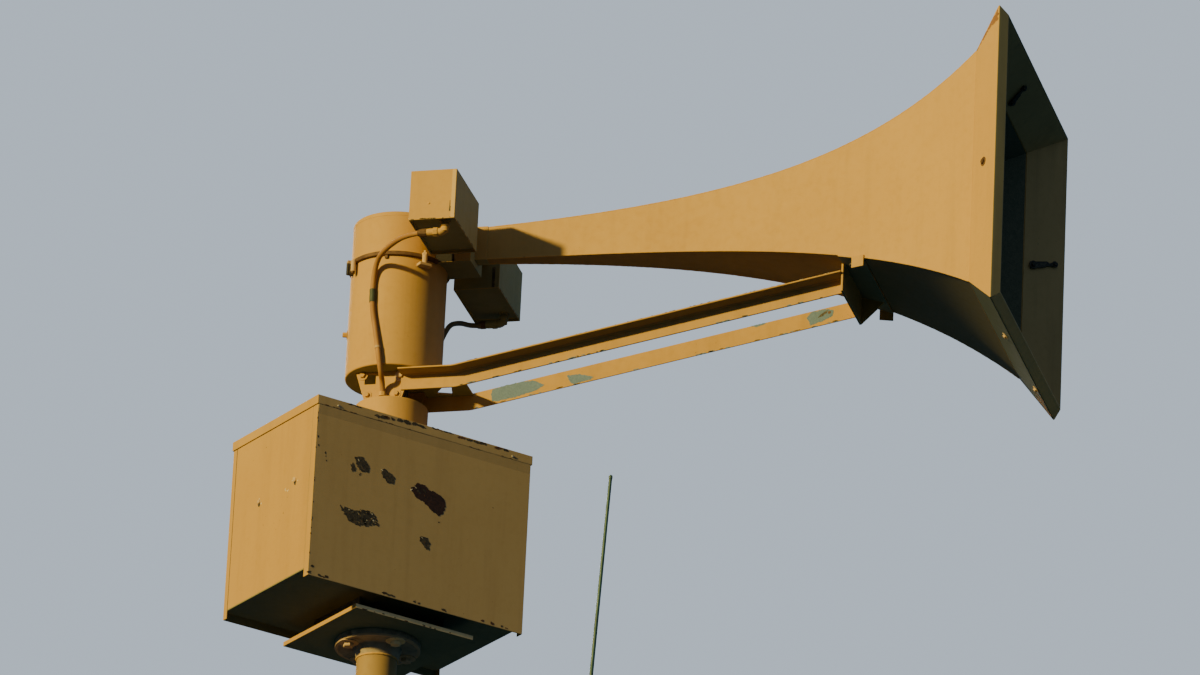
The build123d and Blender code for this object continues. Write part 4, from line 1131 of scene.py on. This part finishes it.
def horn_panel(name, node_name, place, out, across, seed, finish):
    """One flared side: its outer sheet runs by out, its width by across."""
    # The inside faces take the dark bare metal, which carries painted shade
    piece = Piece(name, "siren_head", "horn_paint", [finish, inside_bare_and_shade], [node_name])
    stations = [HORN_START + (KINK_X - HORN_START) * i / 72 for i in range(73)]
    columns = 12
    mesh = bmesh.new()
    grids = []
    for inset in (0.0, HORN_SHEET):
        grid = []
        for x in stations:
            reach = across(x)
            row = []
            for j in range(columns + 1):
                s = -1 + 2 * j / columns
                fade = (1 - s * s) * min(1.0, (KINK_X - x) / 200, (x - HORN_START) / 200)
                level = out(x) - inset + fade * waved(x, s * reach, seed)
                row.append(mesh.verts.new(place @ Vector((x, level, s * reach))))
            grid.append(row)
        grids.append(grid)
    skin(mesh, *grids, len(stations))
    piece.add_painted(mesh)
    piece.done(28.0)


THROAT = moved(HEAD, 0, 0, THROAT_Z)
# How far out each side has its kink, and how far it reaches across there
KINKS = {"near": (KINK_W, KINK_H), "far": (KINK_W, KINK_H), "top": (KINK_H, KINK_W), "bottom": (KINK_H, KINK_W)}
FACING = {
    "near": THROAT @ axes((0, 0, 0), (1, 0, 0), (0, -1, 0)),
    "far": THROAT @ axes((0, 0, 0), X, Y),
    "top": THROAT @ axes((0, 0, 0), X, Z),
    "bottom": THROAT @ axes((0, 0, 0), (1, 0, 0), (0, 0, -1))}


def horn_pieces():
    for i, side in enumerate(("near", "far")):
        horn_panel(f"horn_{side}_sheet", f"horn_{side}_panel", FACING[side], half_width, half_height, 3.0 + i,
                   horn_paint)
    # The bottom sheet takes the painted shade copy of the tan
    for i, side in enumerate(("top", "bottom")):
        horn_panel(f"horn_{side}_sheet", f"horn_{side}_panel", FACING[side], half_height,
                   lambda x: half_width(x) - HORN_SHEET - 0.1, 7.0 + i,
                   bottom_shade_tan if side == "bottom" else horn_paint)
    welds = Piece("horn_corner_welds", "siren_head", "horn_paint", [weld_paint])
    seed = 200
    for sy in (-1, 1):
        for sz in (-1, 1):
            line = []
            for i in range(241):
                x = HORN_START + 1 + (KINK_X - HORN_START - 2) * i / 240
                line.append((x, sy * (half_width(x) - 1.2), sz * (half_height(x) - 0.6)))
            welds.add(bead(THROAT, line, 1.9, seed, 0.16, 6))
            seed += 1
    for seed, (side, (half, reach)) in enumerate(KINKS.items(), 204):
        line = between((KINK_X, half - 0.9, -reach + 2), (KINK_X, half - 0.9, reach - 2), 6)
        welds.add(bead(FACING[side], line, 1.5, seed, 0.16, 6))
    welds.done()


def lip_profile(kink_half):
    """Outer line of the lip in X and half size: kink, rounded mouth fold, rim edge."""
    ax, ay = KINK_X, kink_half
    bx, by = MOUTH_X, MOUTH_HALF
    cx, cy = RIM_X, RIM_HALF
    first = Vector((bx - ax, by - ay)).normalized()
    second = Vector((cx - bx, cy - by)).normalized()
    line = [Vector((ax, ay)).lerp(Vector((bx, by)) - first * 5, i / 10) for i in range(11)]
    for i in range(1, 5):
        t = i / 5
        start = Vector((bx, by)) - first * 5
        end = Vector((bx, by)) + second * 5
        line.append(start.lerp(Vector((bx, by)), t).lerp(Vector((bx, by)).lerp(end, t), t))
    line += [(Vector((bx, by)) + second * 5).lerp(Vector((cx, cy)), i / 4) for i in range(5)]
    return line


def lip_piece(side, kink_half, kink_other, seed):
    # The bottom lip's outer face takes painted shade and its folded rim painted light; the other lips' folded rims
    # are dark olive; every lip's inner face takes the painted light tan
    outside, fold = (lip_outer_painted_shade, painted_light_fold) if side == "bottom" else (horn_paint, rim_fold_olive)
    piece = Piece(f"{side}_lip_sheet", "siren_head", "horn_paint", [outside, lip_inner_painted_light, fold],
                  [f"{side}_mouth_lip"])
    line = lip_profile(kink_half)
    other = lip_profile(kink_other)
    place = FACING[side]
    columns = 16
    thickness = 3.6
    mesh = bmesh.new()
    grids = []
    for inset in (0.0, thickness):
        grid = []
        for i, point in enumerate(line):
            spot, reach = point, other[i].y
            if inset:
                share = i / (len(line) - 1)
                spot = Vector((KINK_X + 2.6, kink_half - 2.4)).lerp(Vector((RIM_X, RIM_HALF - 3.6)), share)
                reach = kink_other - 2.4 + (RIM_HALF - 3.6 - kink_other + 2.4) * share
            row = []
            for j in range(columns + 1):
                s = -1 + 2 * j / columns
                fade = (1 - s * s) * (0.0 if i in (0, len(line) - 1) else 1.0)
                lift = fade * 0.8 * noise.noise(Vector((s * 3.0, i * 0.12, seed)))
                row.append(mesh.verts.new(place @ Vector((spot.x, spot.y + lift, s * reach))))
            grid.append(row)
        grids.append(grid)
    skin(mesh, *grids, 13)
    piece.add_painted(mesh)
    return piece


def lip_pieces():
    for i, (side, (half, other)) in enumerate(KINKS.items()):
        lip_piece(side, half, other, 11.0 + i).done(12.0)
    hardware = Piece("mouth_clips_and_screws", "siren_head", "horn_paint", [bolt_tan_and_rim_highlight, dark_steel_and_band_shade, primer_and_painted_shadow])
    for side, half, start, end in (("near", KINK_W, (22, -3), (100, -19)), ("far", KINK_W, (22, 3), (100, 19)),
                                   ("top", KINK_H, (20, -26), (78, 14)), ("bottom", KINK_H, (22, 3), (100, 19))):
        slope = atan2(RIM_HALF - 1.2 - half, RIM_X - 2.6 - KINK_X)
        face = FACING[side] @ axes((KINK_X + 2.6, half - 2.4, 0), (cos(slope), sin(slope), 0), Z)
        dx, dy = end[0] - start[0], end[1] - start[1]
        length = hypot(dx, dy)
        strip = spun(moved(face, *start, 0), atan2(dy, dx))
        outline = ((-4, -10), (length * 0.5, -9), (length * 0.6, -5), (length, -6), (length + 3, 5),
                   (length * 0.72, 4), (length * 0.62, 9), (-4, 10))
        hardware.add(prism(strip, outline, 3.4, 6.4, 0.5), 2)
        for reach, across in ((6, 12), (length - 7, 9)):
            hardware.add(box(strip, (reach - 8, -across * 0.6, -0.4), (reach + 8, across * 0.6, 4.4), 0.6), 2)
            hardware.add(bolt_head(moved(strip, reach, 0, 6.2), across, 5, 1.0), 2)
    for side, x, v, across, tone in (("near", 1775.6, 11, 13, 1), ("bottom", 1788, -96.6, 12, 0),
                                     ("bottom", 1806, 241, 12, 0), ("top", 1785, -120, 12, 0),
                                     ("top", 1785, 180, 12, 0), ("far", 1775.6, 20, 13, 1)):
        half = KINKS[side][0]
        lean = atan2(MOUTH_HALF - half, MOUTH_X - KINK_X)
        spot = (x, half + (x - KINK_X) * tan(lean), v)
        hardware.add(bolt_head(FACING[side] @ aim(spot, (-sin(lean), cos(lean), 0)), across, 5, 1.4), tone)
    hardware.done()


horn_pieces()
lip_pieces()


# Struts, tie plate and horn bracket

def foot_level(x):
    """The height of a strut's foot, level first and then rising."""
    (_, z0), (x1, z1), (x2, z2) = STRUT_LINE
    return z0 if x <= x1 else z1 + (z2 - z1) * (x - x1) / (x2 - x1)


BARE_PATCHES = (
    (((67, 10), (66, 30), (74, 46), (95, 48.5), (160, 48.5), (196, 43), (223, 22), (200, 12), (140, 6), (85, 7)), 1),
    (((291, 34), (326, 30), (366, 10), (356, 5), (306, 3), (296, 12)), 2),
    (((833, 48.5), (852, 41), (876, 46), (872, 48.5)), 3),
    (((994, 33), (1011, 47), (1050, 46), (1074, 36), (1068, 20), (1034, 11), (1001, 7)), 5))


def strut_pieces():
    face = NECK_FACE
    section = [(face, 0.6), (face + 0.6, 0), (face + 3.4, 0), (face + 4.6, 0.9), (face + STRUT_T, 2.4),
               (face + STRUT_T, 39.5), (face + STRUT_T + 1.0, 42.6), (face + STRUT_T + 2.6, 44.3),
               (face + STRUT_T + 5.2, 45.0), (face + 47.4, 45.0), (face + 49.2, 45.6), (face + 50, 47.0),
               (face + 50, 49.4), (face + 49.4, 50), (face + 1.2, 50), (face, 48.8)]
    for side, name in ((-1, "near"), (1, "far")):
        # The struts' downward faces take the painted shade of the horn's bottom sheet
        piece = Piece(f"{name}_angle_strut", "siren_head", "strut_paint",
                      [strut_paint, bare_patch, primer_and_painted_shadow, chip_light, rust_line], [f"{name}_strut"],
                      under=bottom_shade_tan)
        stations = [49, 120, 190, 203, 207, 211, 240] + [240 + (1319 - 240) * i / 14 for i in range(1, 15)]
        rings = []
        for x in stations:
            level = foot_level(x) + (0.6 if x == 207 else 0.0)
            rings.append([HEAD @ Vector((x, side * y, level + z)) for y, z in section])
        piece.add(section_along(rings))
        seen = HEAD @ axes((207, face if side > 0 else -(face + STRUT_T), 685), (1, 0, STRUT_RISE), Z)
        rng = random.Random(300 + side)
        if side > 0:
            for outline, seed in BARE_PATCHES:
                piece.add(patch(seen, outline, seed, 1.3, 0.3), 1)
            piece.add(patch(seen, ((1024, 24), (1036, 34), (1058, 41), (1050, 33), (1040, 27)), 9, 0.8, 0.6), 2)
            piece.add(patch(seen, scale_outline(1060, 34, 12, 9, 0.3, 4), 4, 0.8, 0.5), 4)
        shelf = HEAD @ axes((207, 0, 735.0), (1, 0, STRUT_RISE), (0, 1, 0))
        for _ in range(60):
            u = rng.uniform(-150 if side < 0 else 0, 1105)
            if u < 0:
                continue
            edge = side * (face + 49.2)
            piece.add(patch(shelf, scale_outline(u, edge, rng.uniform(4, 16), rng.uniform(2, 4), 0, rng.random()),
                            rng.random(), 0.5, 0.25), rng.choice((2, 2, 3)))
        for _ in range(26):
            u = rng.uniform(10, 1100)
            piece.add(patch(seen,
                            scale_outline(u, rng.uniform(1, 3), rng.uniform(5, 22), 3.0, 0, rng.random()),
                            rng.random(), 0.5, 0.25), rng.choice((1, 2)))
        piece.done(24.0)
    tie = Piece("tie_plate", "siren_head", "strut_paint", [strut_paint], ["strut_tie_plate"],
                under=underside_shade_tan)
    tie.add(from_node("strut_tie_plate", 0.8)).done()


def bracket_pieces():
    bracket = Piece("horn_cradle_bracket", "siren_head", "strut_paint", [strut_paint, weld_paint],
                    ["horn_bracket"], under=underside_shade_tan)
    bracket.add(from_node("horn_bracket", 0.9))
    # The bracket's faces that look along +X, away from the key light, take the painted light tan
    bracket.paint_faces((1, 0, 0), painted_light_fold)
    root = (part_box("horn_bracket")[1].z - HOUSING_Z) / MM
    bracket.add(bead(HEAD, between((1326, -118, root - 9), (1326, 118, root - 9), 5), 2.2, 401), 1)
    bracket.done()
    bolts = Piece("bracket_bolts", "siren_head", "strut_paint", [bare_steel])
    for y in (-135, 135):
        z = THROAT_Z - half_height(1360) - 0.1 - 6
        bolts.add(bolt_head(HEAD @ aim((1360, y, z), (0.12, 0, -1)), 15, 9, 2), 0)
    bolts.done()


strut_pieces()
bracket_pieces()


# Conduit fittings

def fitting_pieces():
    piece = Piece("conduit_connectors_and_glands", "siren_head", "head_paint",
                  [head_paint, bare_steel, tape_green, dark_steel_and_band_shade, bolt_tan_and_rim_highlight, underside_shade_tan], ["conduit_fittings"])
    wrap = HEAD @ aim((-33.0, -142.2, 935), (-0.030, 0.004, 1))
    piece.add(lathe(wrap, [(7.2, 0), (8.6, 0.4), (8.9, 12), (8.5, 26), (8.8, 39.5), (7.2, 40)], 32, closed=True), 2)
    ring = HEAD @ aim((-7.6, -148.3, 790), (-0.185, 0.05, 1))
    piece.add(lathe(ring, [(7.3, 0), (8.4, 0), (8.4, 6), (7.3, 6)], 32, closed=True), 4)
    # The near side's fittings are tan; the far side's take the painted shade of the undersides
    for side, tone in ((-1, 0), (1, 5)):
        y = side * 331
        z = 1055
        drop = HEAD @ aim((222, y, 1088), (0, 0, -1))
        piece.add(lathe(drop, [(0, 0), (15, 0), (15, 5), (0, 5)], 6), tone)
        piece.add(lathe(drop, [(0, 4), (10.6, 4), (10.6, 12), (13.4, 13), (13.4, 19), (11, 20), (11, 33), (0, 33)],
                        32), tone)
        elbow = []
        for i in range(9):
            a = pi / 2 * i / 8
            centre = Vector((222 - 14 * (1 - cos(a)), y, z + 14 - 14 * sin(a)))
            tangent = Vector((-sin(a), 0, -cos(a)))
            u = Vector((0, 1, 0))
            w = tangent.cross(u)
            elbow.append([HEAD @ (centre + (u * cos(b * tau / 24) + w * sin(b * tau / 24)) * 11)
                          for b in range(24)])
        piece.add(section_along(elbow), tone)
        sleeve = HEAD @ aim((210, y, z), (-1, 0, 0))
        piece.add(lathe(sleeve, [(0, -2), (11, -2), (11, 8), (0, 8)], 32), tone)
        piece.add(lathe(sleeve, [(0, 7), (13.5, 7), (14, 8), (14, 19), (13, 20), (0, 20)], 8), tone)
        piece.add(lathe(sleeve, [(0, 19), (11.2, 19), (11.2, 33), (10.6, 36), (0, 36)], 32), tone)
        piece.add(lathe(sleeve, [(7.6, 35), (10.6, 35), (10.4, 43), (8.6, 45), (7.6, 45)], 32, closed=True), tone)
        nut = HEAD @ aim((170, y, z), (-1, 0, 0))
        piece.add(lathe(nut, [(7.4, 0), (11.5, 0), (12, 1.5), (12, 14), (11, 16), (9.8, 24), (8.4, 26), (7.4, 26)],
                        10, closed=True), 3)
        gland = moved(HEAD, -2, side * 93.4, 664)
        piece.add(lathe(gland, [(7.6, 0), (12.4, 0), (12.4, 3), (7.6, 3)], 32, closed=True), 0)
        piece.add(lathe(gland, [(7.6, 3), (11.6, 3), (11.6, 11), (10.6, 12), (7.6, 12)], 8, closed=True), 0)
        piece.add(lathe(gland, [(7.6, 11), (8.8, 11), (8.6, 16), (7.8, 18), (7.6, 18)], 32, closed=True), 0)
    piece.done()


fitting_pieces()


def horn_wear():
    """Rust and dirt along the lips' corners."""
    wear = Piece("horn_rust_marks", "siren_head", "horn_paint", [rust_paint])
    lean = atan2(MOUTH_HALF - KINK_W, MOUTH_X - KINK_X)
    flip = Matrix.Scale(-1, 4, Z)
    near = FACING["near"] @ axes((KINK_X, KINK_W, 0), (cos(lean), sin(lean), 0), Z) @ flip
    reach = (MOUTH_X - KINK_X) / cos(lean)
    wear.add(patch(near, ((2, -349), (reach - 6, -433), (reach - 4, -398), (reach * 0.62, -392),
                          (reach * 0.3, -368)), 77, 3.0, 0.3))
    lean = atan2(MOUTH_HALF - KINK_H, MOUTH_X - KINK_X)
    low = FACING["bottom"] @ axes((KINK_X, KINK_H, 0), (cos(lean), sin(lean), 0), Z) @ flip
    for i, (u0, u1, v0, v1) in enumerate(((86, 120, 300, 330), (70, 118, 352, 384), (96, 122, 392, 420))):
        wear.add(patch(low, ((u0, v0), (u1, v0 + 6), (u1 - 3, v1), (u0 + 8, v1 - 6)), 80 + i, 2.6, 0.3))
    wear.done(20.0)


horn_wear()

for node in nodes.values():
    for slot in node.material_slots:
        slot.material = head_paint
